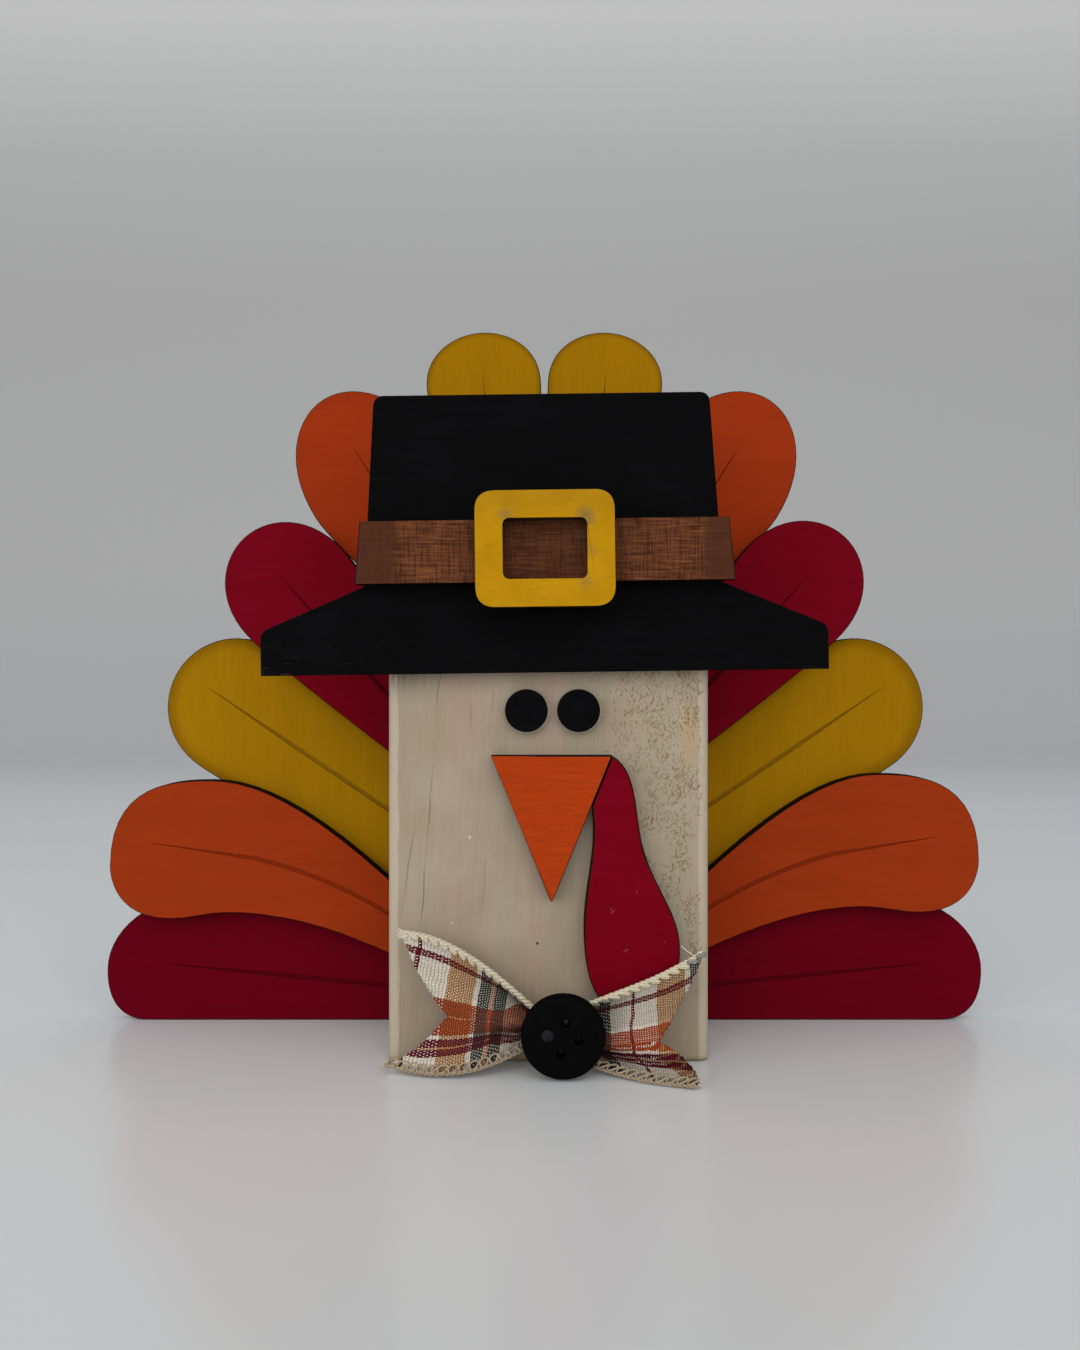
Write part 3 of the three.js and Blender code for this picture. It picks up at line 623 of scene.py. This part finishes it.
def plaid():
    """Open plain weave: at each crossing either the lengthwise or the crosswise yarn lies on top. Painted
    shade darkens the crossings where the crosswise yarn is on top, the gaps between yarns, the cloth by the
    knot, the lower hem and the right wing's upper and lower parts; painted light brightens the right wing's
    middle.
    """
    look = Look("plaid_ribbon", roughness=0.85, specular=0.12)

    def charted(name):
        return look.vector("SCALE", look.put("UVMap", uv_map=name).outputs[0], scale=CHART_UNIT)

    def arch(count):
        return look.math("SINE", look.times(look.math("FRACT", count), math.pi))

    chart = charted("weave")
    cells = charted("yarn")
    waver = look.put("TexNoise")
    look.feed(waver.inputs["Vector"], chart)
    waver.inputs["Scale"].default_value = 0.35
    shift = look.vector("SCALE", look.vector("SUBTRACT", waver.outputs["Color"], (0.5, 0.5, 0.5)), scale=0.9)
    chart = look.vector("ADD", chart, shift)
    run, width, _ = look.put("SeparateXYZ", chart).outputs
    cell_run, cell_width, _ = look.put("SeparateXYZ", look.vector("ADD", cells, shift)).outputs
    long_yarn = stripes(look, width, RIBBON_WIDTH, ACROSS)
    cross_yarn = stripes(look, look.math("MODULO", look.plus(run, 10 * REPEAT), REPEAT), REPEAT, ALONG)
    count_run = look.math("DIVIDE", cell_run, YARN_RUN)
    fold = look.math("PINGPONG", count_run, 1.0)
    count_width = look.plus(look.math("DIVIDE", cell_width, YARN_WIDTH), look.times(fold, 0.8))
    turn = look.plus(look.math("FLOOR", count_run), look.math("FLOOR", count_width), 2000.0)
    over = look.math("MODULO", turn, 2.0)
    upper = look.mix(over, long_yarn, cross_yarn)
    long_light = look.put("RGBToBW", long_yarn).outputs[0]
    cross_light = look.put("RGBToBW", cross_yarn).outputs[0]
    lower = look.mix(look.math("LESS_THAN", cross_light, long_light), long_yarn, cross_yarn)
    bulge = look.times(arch(count_run), arch(count_width))
    brighter = look.math("MAXIMUM", long_light, cross_light)
    showing = look.span(brighter, 0.09, 0.15, 0.25, 0.56)
    cloth = look.mix(look.span(bulge, showing, look.plus(showing, 0.16)), lower, upper)
    # Painted shade: crossings where the crosswise yarn lies on top are a little darker.
    cloth = look.mix(look.times(over, 0.16), cloth, srgb(60, 50, 44))
    # Painted shade: the gaps between the yarns are darker.
    holes = look.mix(1.0, cloth, srgb(140, 128, 118), "MULTIPLY")
    cloth = look.mix(look.span(bulge, 0.04, 0.3), holes, cloth)
    # Painted shade: the cloth darkens by the knot, where it is gathered.
    knot_shade = look.span(look.math("ABSOLUTE", run), 9.0, 21.0, 0.6, 1.0)
    # Painted light and shade on the right wing: its upper and lower parts darker, its middle lighter.
    right = look.span(run, 2.0, 9.0)
    slope_light_and_shade = look.times(look.span(width, 14.0, 17.0, 0.83, 1.2), look.span(width, 24.0, 28.5, 1.0, 0.46))
    right_wing_light_and_shade = look.plus(look.times(right, slope_light_and_shade), look.minus(1.0, right))
    # Painted shade: the cloth darkens along its lower hem.
    hem_shade = look.span(width, 35.4, 36.4, 1.0, 0.5)
    cloth = look.mix(1.0, cloth, look.times(knot_shade, right_wing_light_and_shade, hem_shade), "MULTIPLY")
    slub = look.noise(look.vector("MULTIPLY", chart, (0.15, 2.4, 1.0)), detail=3.0)
    worn = look.mix(1.0, cloth, srgb(222, 220, 218), "MULTIPLY")
    cloth = look.mix(look.span(slub, 0.3, 0.7), cloth, worn)
    look.bump(bulge, 0.12, 0.8)
    return look.colour(cloth)


def thread_look(name, dark, light):
    """Cotton edging with fine twist lines."""
    look = Look(name, roughness=0.85, specular=0.12)
    twist = look.mottle(2.6, 2.6, 2.6, detail=4.0, roughness=0.6)
    look.bump(twist, 0.12)
    return look.colour(look.mix(look.span(twist, 0.3, 0.7), dark, light))


class Wing:
    """One side of the bow, from the pinch behind the button to the notched end.

    Reaches go out from the pinch, heights up from the floor and stands forward from the block, in mm.
    Curves, crown and droop are powers that shape the end and the hang of the cloth.
    """

    def __init__(self, side, **sizes):
        self.side = side
        self.__dict__.update(sizes)


LEFT = Wing(-1, top_reach=43.2, foot_reach=48.5, notch=15.1, notch_at=0.55, top_curve=1.5, tip_curve=1.0,
            top_height=37.9, foot_height=2.6, foot_sag=2.4, pinch_top=16.0, pinch_foot=4.7, top_bow=1.77,
            crown=(0.43, 1.42), droop=(0.27, 1.83), gather=0.64, top_stand=3.0, foot_stand=3.0,
            billow=7.0, lift=0.0)
RIGHT = Wing(1, top_reach=38.0, foot_reach=34.5, notch=10.6, notch_at=0.59, top_curve=1.0, tip_curve=2.4,
             top_height=34.2, foot_height=1.3, foot_sag=1.0, pinch_top=19.2, pinch_foot=2.3, top_bow=0.77,
             crown=(0.68, 0.76), droop=(0.85, 1.21), gather=0.51, top_stand=0.0, foot_stand=15.0,
             billow=1.0, lift=6.3)
BOW_X = 3.8
PINCH_LENGTH = 14.0
RIBBON_BACK = 0.8
RIBBON_FRONT = 14.0


def reach_of(wing, across):
    """How far a wing's notched end lies from the pinch."""
    if across < wing.notch_at:
        notch = wing.notch * (across / wing.notch_at) ** wing.top_curve
    else:
        notch = wing.notch * ((1 - across) / (1 - wing.notch_at)) ** wing.tip_curve
    return lerp(wing.top_reach, wing.foot_reach, across) - notch


def ribbon_point(wing, share, across, extra=0.0):
    """A point of the bow: share runs from the pinch, 0, to the end, 1; extra goes past the end in mm."""
    reach = reach_of(wing, across)
    out = reach * share + extra
    opened = clamp((out - PINCH_LENGTH / 2) / (reach - PINCH_LENGTH / 2))
    climb = smoothstep(out, PINCH_LENGTH / 4, PINCH_LENGTH / 2)

    def from_middle(name, index=None):
        """A pinch value of this wing, evened out with the other wing's behind the button."""
        values = [getattr(one, name) for one in (LEFT, RIGHT, wing)]
        if index is not None:
            values = [value[index] for value in values]
        return lerp(0.5 * (values[0] + values[1]), values[2], climb)

    pinch_top = from_middle("pinch_top")
    top = pinch_top + (wing.top_height - pinch_top) * (1 - (1 - opened) ** wing.top_bow)
    foot = lerp(from_middle("pinch_foot"), wing.foot_height, opened)
    foot -= 4 * wing.foot_sag * opened * (1 - opened)
    gather = (1 - opened) ** wing.gather
    crown = lerp(wing.crown[1], from_middle("crown", 0), gather)
    droop = lerp(wing.droop[1], from_middle("droop", 0), gather)
    hang = (1 - across ** crown) ** droop
    back = RIBBON_BACK + climb * wing.lift
    swing = 0.5 * (RIBBON_FRONT - back) * (1 - opened) ** 1.5
    stand = 0.5 * (RIBBON_FRONT + back) + swing * math.cos(3 * math.pi * (across - 0.5))
    stand += lerp(wing.top_stand, wing.foot_stand, across ** 2) * opened
    stand += wing.billow * across ** 2 * math.sin(math.pi * opened)
    ripple = noise.noise(Vector((out * 0.11, across * 3.2, 5.0 + wing.side)))
    stand += 0.9 * ripple * opened
    return Vector((BOW_X + wing.side * out, BLOCK_FRONT - stand, lerp(foot, top, hang))) * MM


EDGE_INSET = 0.5 / RIBBON_WIDTH
CLOTH_THICKNESS = 0.4
STEPS_ALONG = 84
STEPS_ACROSS = 90
# Weave of the left wing: its stretch at the upper and lower edge, and the slack past the last band
LEFT_STRETCH = (1.07, 0.92)
END_BAND = 32.0
END_STRETCH = 0.68
# Weave of the right wing: its stretch, the share that the curled lower corner hides, and a pucker
RIGHT_STRETCH = 0.975
CURL = 0.19
CURL_ACROSS = (0.68, 0.98)
PUCKER_OUT = (17.9, 2.5)
PUCKER_ACROSS = (0.45, 0.16)
# Pleat of the left wing: how far it moves the weave, where it runs out, and its start and span across
PLEAT_SHIFT = 8.3
PLEAT_OUT = (10.0, 20.0)
PLEAT_START = 6.0
PLEAT_SPAN = 26.4


def woven_run(wing, out, across):
    """How far along the cloth a point lies that hangs out mm from the knot."""
    if wing is LEFT:
        run = out * lerp(*LEFT_STRETCH, across)
        return min(run, lerp(END_BAND, run, END_STRETCH))
    (pucker_out, long), (pucker_across, wide) = PUCKER_OUT, PUCKER_ACROSS
    pucker = math.exp(-((out - pucker_out) / long) ** 2 - ((across - pucker_across) / wide) ** 2)
    return out * (RIGHT_STRETCH - CURL * smoothstep(across, *CURL_ACROSS)) + pucker


def woven_width(wing, out, across):
    """How far across the cloth a point lies: left of the knot a pleat hides cream and spreads the orange."""
    width = across * RIBBON_WIDTH
    if wing is RIGHT:
        return width
    near = PLEAT_SHIFT * (1 - smoothstep(out, *PLEAT_OUT))
    sway = math.cos(math.pi * (width - PLEAT_START) / PLEAT_SPAN)
    return width + near * sway * smoothstep(width, 5.0, 8.0) * clamp((RIBBON_WIDTH - width) / 5.0)


def build_ribbon(material):
    """The cloth of both wings as one sheet, charted in mm along and across for its weave."""
    verts = []
    chart = []
    cells = []
    rows = 2 * STEPS_ALONG + 1
    fallen = [0.0] * rows
    ragged = [random.uniform(-0.35, 0.45) for _ in range(2 * STEPS_ACROSS + 2)]
    for j in range(STEPS_ACROSS + 1):
        across = lerp(EDGE_INSET, 1 - EDGE_INSET, j / STEPS_ACROSS)
        row = []
        for i in range(rows):
            wing = LEFT if i < STEPS_ALONG else RIGHT
            share = abs(i - STEPS_ALONG) / STEPS_ALONG
            fray = ragged[2 * j + (i > STEPS_ALONG)] if share == 1 else 0.0
            row.append(ribbon_point(wing, share, across, fray))
        if verts:
            steps = [math.hypot(a.x - b.x, a.z - b.z) / MM for a, b in zip(row, verts[-rows:])]
            fallen = [total + step for total, step in zip(fallen, steps)]
        for i, place in enumerate(row):
            wing = LEFT if i < STEPS_ALONG else RIGHT
            out = abs(place.x / MM - BOW_X)
            run = wing.side * woven_run(wing, out, across)
            chart.append((run / CHART_UNIT, woven_width(wing, out, across) / CHART_UNIT))
            yarn = (run, across * RIBBON_WIDTH) if wing is LEFT else (out, fallen[i])
            cells.append((yarn[0] / CHART_UNIT, yarn[1] / CHART_UNIT))
        verts.extend(row)
    faces = []
    for j in range(STEPS_ACROSS):
        for i in range(rows - 1):
            low = j * rows + i
            faces.append((low, low + rows, low + rows + 1, low + 1))
    piece = smooth_mesh("plaid_bow", [tuple(v) for v in verts], faces, material)
    for name, places in (("weave", chart), ("yarn", cells)):
        layer = piece.data.uv_layers.new(name=name)
        for loop in piece.data.loops:
            layer.data[loop.index].uv = places[loop.vertex_index]
    thick = piece.modifiers.new("cloth", "SOLIDIFY")
    thick.thickness = CLOTH_THICKNESS * MM
    thick.offset = 0.0
    return piece


END_TAPER = 0.55


def threads(name, paths, radius, material):
    """Round threads through lists of points in metres, thinner at their ends, as one piece."""
    curve = bpy.data.curves.new(name, "CURVE")
    curve.dimensions = "3D"
    curve.bevel_depth = radius * MM
    curve.bevel_resolution = 1
    curve.use_fill_caps = True
    for path in paths:
        spline = curve.splines.new("POLY")
        spline.points.add(len(path) - 1)
        for point, place in zip(spline.points, path):
            point.co = (*place, 1.0)
            point.radius = 1.0
        for end in (0, -1):
            spline.points[end].radius = END_TAPER
    curve.materials.append(material)
    return placed(name, curve)


def edge_frame(wing, share, across):
    """A point of the sheet near an edge, with its directions inward across and out of the cloth."""
    here = ribbon_point(wing, share, across)
    ahead = ribbon_point(wing, min(share + 0.01, 1.0), across)
    behind = ribbon_point(wing, max(share - 0.01, 0.0), across)
    step = 0.02 if across < 0.5 else -0.02
    inner = ribbon_point(wing, share, across + step)
    along = (ahead - behind).normalized() * wing.side
    inward = inner - here
    inward = (inward - along * inward.dot(along)).normalized()
    return here, inward, along.cross(inward).normalized()


# The upper edge is sewn tight like a rope, the lower edge in open loops. Lengths in mm.
EDGING = {
    "top": {"pitch": 2.9, "deep": 1.4, "slant": 2.2, "wide": 0.5, "thread": 0.42, "cord": 0.44},
    "bottom": {"pitch": 2.9, "deep": 2.4, "slant": 1.3, "wide": 1.2, "thread": 0.28, "cord": 0.25},
}
LOOP_POINTS = 20
MARKS = 240
CORD_STEP = 0.3
# Slate loops on the right wing's upper edge: from the wing's end, and a span from the pinch
SLATE_END = 5.5
SLATE_SPAN = (9.0, 13.5)


def edge_marks(wing, across):
    """The length along one edge of a wing at even shares of it."""
    length = 0.0
    marks = [(0.0, 0.0)]
    last = ribbon_point(wing, 0.0, across)
    for i in range(1, MARKS + 1):
        here = ribbon_point(wing, i / MARKS, across)
        length += (here - last).length / MM
        last = here
        marks.append((length, i / MARKS))
    return marks


def share_at(marks, want):
    """The share of an edge at a length along it."""
    for (low, low_share), (high, high_share) in zip(marks, marks[1:]):
        if want <= high:
            return lerp(low_share, high_share, clamp((want - low) / (high - low)))
    return 1.0


def sewn_loop(wing, across, marks, middle, face, sizes):
    """A slanted teardrop of thread on one face of the cloth, about a middle along its edge."""
    path = []
    for k in range(LOOP_POINTS + 1):
        turn = 2 * math.pi * k / LOOP_POINTS
        deep = 0.5 * sizes["deep"] * (1 - math.cos(turn))
        side = sizes["wide"] * math.sin(turn) * (1 - 0.35 * math.cos(turn))
        lean = sizes["slant"] * (deep / sizes["deep"] - 0.5) * wing.side
        want = clamp(middle + lean + side, 0.0, marks[-1][0])
        here, inward, out = edge_frame(wing, share_at(marks, want), across)
        lift = 0.42 + 0.12 * math.sin(turn)
        path.append(here + inward * (deep - 0.45) * MM + out * (face * lift) * MM)
    return path


def twisted_strand(wing, across, marks, pitch, start):
    """One strand of the cord along the rim of an edge, which winds from a start angle."""
    length = marks[-1][0]
    steps = int(length / CORD_STEP)
    path = []
    for k in range(steps + 1):
        angle = 2 * math.pi * length * k / steps / pitch + start
        here, inward, out = edge_frame(wing, share_at(marks, length * k / steps), across)
        shift = inward * (0.28 * math.cos(angle) - 0.35) + out * (0.32 * math.sin(angle))
        path.append(here + shift * MM)
    return path


def overlock(edge):
    """The loops sewn over one long edge on both faces, the slate ones apart, and the cord along its rim."""
    across = EDGE_INSET if edge == "top" else 1 - EDGE_INSET
    sizes = EDGING[edge]
    loops = []
    slate = []
    rims = []
    for wing in (LEFT, RIGHT):
        marks = edge_marks(wing, across)
        length = marks[-1][0]
        for face in (1, -1):
            middle = 0.5 * sizes["pitch"]
            while middle < length:
                marked = middle > length - SLATE_END or SLATE_SPAN[0] < middle < SLATE_SPAN[1]
                dark = wing is RIGHT and edge == "top" and marked
                (slate if dark else loops).append(sewn_loop(wing, across, marks, middle, face, sizes))
                middle += sizes["pitch"]
        for start in (0.0, math.pi):
            rims.append(twisted_strand(wing, across, marks, sizes["pitch"], start))
    return loops, slate, rims


bow = build_ribbon(plaid())
cream_look = thread_look("cream_thread", srgb(184, 172, 146), srgb(214, 204, 180))
# Painted shade: the lower edge's thread is a darker copy of the cream thread, for the shade it lies in.
shaded_look = thread_look("shaded_thread", srgb(134, 118, 97), srgb(180, 163, 138))
slate_look = thread_look("slate_thread", srgb(62, 72, 68), srgb(168, 164, 148))
white_look = thread_look("white_thread", srgb(206, 200, 186), srgb(232, 228, 216))
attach(bow, "root")
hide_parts("bow_ribbon")

trimmings = []
for edge in ("top", "bottom"):
    loops, slate, rims = overlock(edge)
    yarn_look = cream_look if edge == "top" else shaded_look
    trimmings.append(threads("overlock_loops_" + edge, loops, EDGING[edge]["thread"], yarn_look))
    trimmings.append(threads("overlock_rim_" + edge, rims, EDGING[edge]["cord"], yarn_look))
    if slate:
        trimmings.append(threads("overlock_slate", slate, EDGING[edge]["thread"], slate_look))


FRAY_POINTS = 7
FRAY_ROWS = 24
# Loose thread at the right end: places in mm
STRAY = [(39.4, -30.6, 31.4), (38.4, -31.0, 32.4), (37.2, -31.0, 33.2), (36.2, -30.6, 34.0),
         (35.6, -30.0, 34.6)]


def loose_ends(wing, across, count, length, spread, inset=0.6):
    """Fine fibres that start inset mm inside a cut end and stray past it."""
    paths = []
    for _ in range(count):
        place = clamp(across + random.uniform(-spread, spread), 0.02, 0.98)
        start = ribbon_point(wing, 0.985, place)
        tip = ribbon_point(wing, 1.0, place)
        heading = (tip - start).normalized()
        bend = Vector([random.uniform(-0.5, 0.5) for _ in range(3)])
        reach = length * random.uniform(0.5, 1.0) * MM
        shares = [k / (FRAY_POINTS - 1) for k in range(FRAY_POINTS)]
        paths.append([tip + heading * (reach * share - inset * MM) + bend * (reach * share * share)
                      for share in shares])
    return paths


tuft = loose_ends(LEFT, 0.035, 110, 3.0, 0.045, inset=2.4)
tuft.append([Vector(place) * MM for place in STRAY])
trimmings.append(threads("white_ends", tuft, 0.11, white_look))
frays = loose_ends(LEFT, 0.97, 14, 2.2, 0.03)
frays += loose_ends(RIGHT, 0.94, 18, 1.8, 0.06)
frays += loose_ends(RIGHT, 0.03, 8, 1.6, 0.03)
for row in range(FRAY_ROWS):
    for wing in (LEFT, RIGHT):
        frays += loose_ends(wing, 0.05 + row * 0.039, 1, 0.9, 0.01)
trimmings.append(threads("frayed_ends", frays, 0.08, cream_look))
for piece in trimmings:
    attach(piece, "root")


# Glue in the button's holes, and a dark drop of painted shade in the empty one

BEAD_SIDES = 24
DOME_STEPS = 8
HOLE_OUT = 4.2
HOLE_TURN = math.radians(10)
HOLE_FILL = 1.22


def bead(name, x, z, profile, material):
    """A drop turned about a hole's axis: glue, and in the empty hole a dark drop of painted shade. Profile
    lists (radius, y) from the back to the tip.
    """
    sides = BEAD_SIDES
    verts = []
    for row, (radius, y) in enumerate(profile):
        for k in range(sides):
            turn = 2 * math.pi * k / sides
            size = radius * (1 + 0.03 * math.sin(3 * turn + row))
            verts.append(((x + size * math.cos(turn)) * MM, y * MM, (z + size * math.sin(turn)) * MM))
    faces = [tuple(range(sides)), tuple(range(len(verts) - 1, len(verts) - 1 - sides, -1))]
    for row in range(len(profile) - 1):
        for k in range(sides):
            a = row * sides + k
            b = row * sides + (k + 1) % sides
            faces.append((a, a + sides, b + sides, b))
    piece = smooth_mesh(name, verts, faces, material)
    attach(piece, "root")


def dome(radius, foot, tip):
    """A rounded drop in a hole, from its foot to its tip along Y."""
    profile = [(radius, foot)]
    for k in range(DOME_STEPS):
        angle = 0.5 * math.pi * k / DOME_STEPS
        profile.append((radius * math.cos(angle), lerp(0.5 * (foot + tip), tip, math.sin(angle))))
    return profile + [(0.03, tip)]


grey_glue = glue("grey_glue", srgb(15, 14, 16), srgb(31, 29, 33))
dull_glue = glue("dull_glue", srgb(10, 10, 12), srgb(20, 20, 22))
brown_glue_and_shade = glue("brown_glue_and_shade", srgb(10, 8, 8), srgb(38, 26, 22))
button_x, _, button_z = middle_of("button")
button_face = front_of("button")
hole_x = HOLE_OUT * math.cos(HOLE_TURN)
hole_z = HOLE_OUT * math.sin(HOLE_TURN)
# The left drop swells out of its hole: radius, and mm behind the button's face
BULB = [(HOLE_FILL, 2.6), (HOLE_FILL, -0.06), (1.66, -0.10), (1.62, -0.34), (1.2, -0.58), (0.6, -0.68),
        (0.03, -0.7)]
bulb = [(radius, button_face + behind) for radius, behind in BULB]
bead("glue_left", button_x - hole_x, button_z + hole_z, bulb, grey_glue)
for name, right, up, foot, tip, finish in (
        ("glue_top", hole_z, hole_x, 2.6, 0.4, dull_glue),
        # Painted shade: the right hole is empty, and its dark drop stands for the shade inside it.
        ("dark_plug_right", hole_x, -hole_z, 4.0, 2.9, brown_glue_and_shade),
        ("glue_bottom", -hole_z, -hole_x, 4.0, 2.5, brown_glue_and_shade)):
    drop = dome(HOLE_FILL, button_face + foot, button_face + tip)
    bead(name, button_x + right, button_z + up, drop, finish)


# Torn fibres on the block's right half, and light scratches on the wattle

STROKE_STEPS = 5
STROKE_RADIUS = 0.06
# Rough patch of the block, in mm: its spans, the height of its bare top strip, and the fibres' lengths
ROUGH_X = (8.0, 42.0)
ROUGH_Z = (28.0, 112.0)
ROUGH_EDGE = (12.0, 27.0)
ROUGH_TOP = 104.0
SHORTEST = 0.5
LONGEST = 1.9
LONGEST_AT_TOP = 3.4


def hair(x, y, z, length, lean, bend):
    """A thin curved stroke that starts at a point and heads up, leaning by an angle that grows by bend."""
    path = []
    step = length / STROKE_STEPS
    for k in range(STROKE_STEPS + 1):
        path.append(Vector((x, y, z)) * MM)
        turn = lean + bend * k / STROKE_STEPS
        x += step * math.sin(turn)
        z += step * math.cos(turn)
    return path


def torn_fibres(count, shift):
    """Strokes spread over the rough patch, denser towards the block's right edge."""
    paths = []
    while len(paths) < count:
        x = random.uniform(*ROUGH_X)
        z = random.uniform(*ROUGH_Z)
        rough = noise.noise(Vector((0.18 * x + shift, 0.11 * z, 3.0)))
        edge = smoothstep(x, *ROUGH_EDGE)
        if z > ROUGH_TOP:
            edge = max(edge, 0.5)
        if random.random() > edge * clamp(0.5 + 1.2 * rough):
            continue
        lean = random.gauss(0.15, 0.6)
        longest = LONGEST_AT_TOP if z > ROUGH_TOP else LONGEST
        length = lerp(SHORTEST, longest, random.random() ** 1.6)
        paths.append(hair(x, BLOCK_FRONT - 0.02, z, length, lean, random.uniform(-0.9, 0.9)))
    return paths


dark_fibre = thread_look("dark_fibre", srgb(108, 88, 62), srgb(146, 124, 94))
pale_fibre = thread_look("pale_fibre", srgb(166, 154, 132), srgb(188, 178, 158))
scratch_look = thread_look("paint_scratch", srgb(128, 40, 46), srgb(176, 112, 104))
WATTLE_FRONT = front_of("wattle")
# Each scratch: x and z of its start in mm, length, lean and bend
SCRATCHES = [(17.0, 42.2, 1.6, 0.9, -0.5), (17.4, 42.9, 1.2, -0.7, 0.6), (20.2, 32.0, 1.3, 1.5, -1.2),
             (20.9, 31.5, 1.5, 0.4, 0.9), (24.2, 47.6, 0.9, -0.5, 0.4), (31.6, 34.4, 0.5, 0.2, 0.0)]
scratches = [hair(x, WATTLE_FRONT - 0.02, z, *stroke) for x, z, *stroke in SCRATCHES]
for name, paths, look, slot in (
        ("torn_fibres_dark", torn_fibres(2000, 0.0), dark_fibre, "whitewashed_lumber"),
        ("torn_fibres_pale", torn_fibres(420, 9.0), pale_fibre, "whitewashed_lumber"),
        ("wattle_scratches", scratches, scratch_look, "red_paint")):
    piece = threads(name, paths, STROKE_RADIUS, look)
    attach(piece, "root")


# Floor and sweep

# Painted light and shade over the sweep's pale tone: the tone at places along it, mm along the floor from
# the block, and up the wall
SWEEP_LIGHT_AND_SHADE = [(-400.0, (200, 203, 205)), (-170.0, (207, 210, 212)), (-52.0, (218, 220, 221)),
         (50.0, (217, 222, 226)), (245.0, (218, 224, 228)), (750.0, (212, 218, 224)),
         (1330.0, (192, 194, 198)), (2100.0, (187, 187, 187)), (2500.0, (186, 186, 186)),
         (2785.0, (185, 185, 184)), (3060.0, (197, 197, 197)), (3300.0, (220, 220, 219))]
# Sizes of the sweep in metres
FLOOR_FRONT = -3.0
FLOOR_BACK = 1.2
BEND = 0.8
BEND_STEPS = 16
WALL_TOP = 4.0
SWEEP_HALF = 4.0


def sweep_look():
    """A smooth, slightly glossy pale surface, whose tone changes along it as painted light and shade."""
    look = Look("studio_sweep", roughness=0.25, specular=0.9)
    first, last = SWEEP_LIGHT_AND_SHADE[0][0], SWEEP_LIGHT_AND_SHADE[-1][0]
    place = look.span(look.plus(look.y, look.z), first, last, smooth=False)
    stops = [((where - first) / (last - first), srgb(*tone)) for where, tone in SWEEP_LIGHT_AND_SHADE]
    return look.colour(look.ramp(place, stops))


def build_sweep(material):
    """A pale floor that curves up into a backdrop."""
    profile = [(FLOOR_FRONT, 0.0), (FLOOR_BACK, 0.0)]
    for i in range(1, BEND_STEPS + 1):
        turn = 0.5 * math.pi * i / BEND_STEPS
        profile.append((FLOOR_BACK + BEND * math.sin(turn), BEND - BEND * math.cos(turn)))
    profile.append((FLOOR_BACK + BEND, WALL_TOP))
    verts = []
    for y, z in profile:
        verts += [(-SWEEP_HALF, y, z), (SWEEP_HALF, y, z)]
    faces = [(2 * i, 2 * i + 1, 2 * i + 3, 2 * i + 2) for i in range(len(profile) - 1)]
    piece = smooth_mesh("sweep", verts, faces, material)


build_sweep(sweep_look())


# Light

LIT_POINT = (0.0, 0.0, 0.09)
SKY_STRENGTH = 0.68


def area_light(name, place, size, power):
    """A rectangular lamp that faces the figure."""
    lamp = bpy.data.lights.new(name, "AREA")
    lamp.shape = "RECTANGLE"
    lamp.size, lamp.size_y = size
    lamp.energy = power
    piece = placed(name, lamp)
    piece.location = place
    piece.rotation_euler = (Vector(LIT_POINT) - Vector(place)).to_track_quat("-Z", "Y").to_euler()


world = bpy.data.worlds.new("studio")
world.use_nodes = True
sky = world.node_tree.nodes["Background"]
sky.inputs["Color"].default_value = (1.0, 1.0, 1.0, 1.0)
sky.inputs["Strength"].default_value = SKY_STRENGTH
bpy.context.scene.world = world
area_light("key", place=(-0.05, -1.4, 0.6), size=(2.0, 1.4), power=14.4)
area_light("fill", place=(-1.3, -0.9, 0.35), size=(1.0, 1.0), power=4.0)


# Camera

CAMERA_PLACE = (-0.00235, -0.385, 0.1073)
FOCAL_LENGTH = 35.2
SENSOR_WIDTH = 36.0

lens = bpy.data.cameras.new("camera")
lens.lens = FOCAL_LENGTH
lens.sensor_width = SENSOR_WIDTH
lens.clip_start = 0.01
camera = placed("camera", lens)
camera.location = CAMERA_PLACE
camera.rotation_euler = (math.radians(90), 0.0, 0.0)
bpy.context.scene.camera = camera
bpy.context.scene.view_settings.view_transform = "Standard"
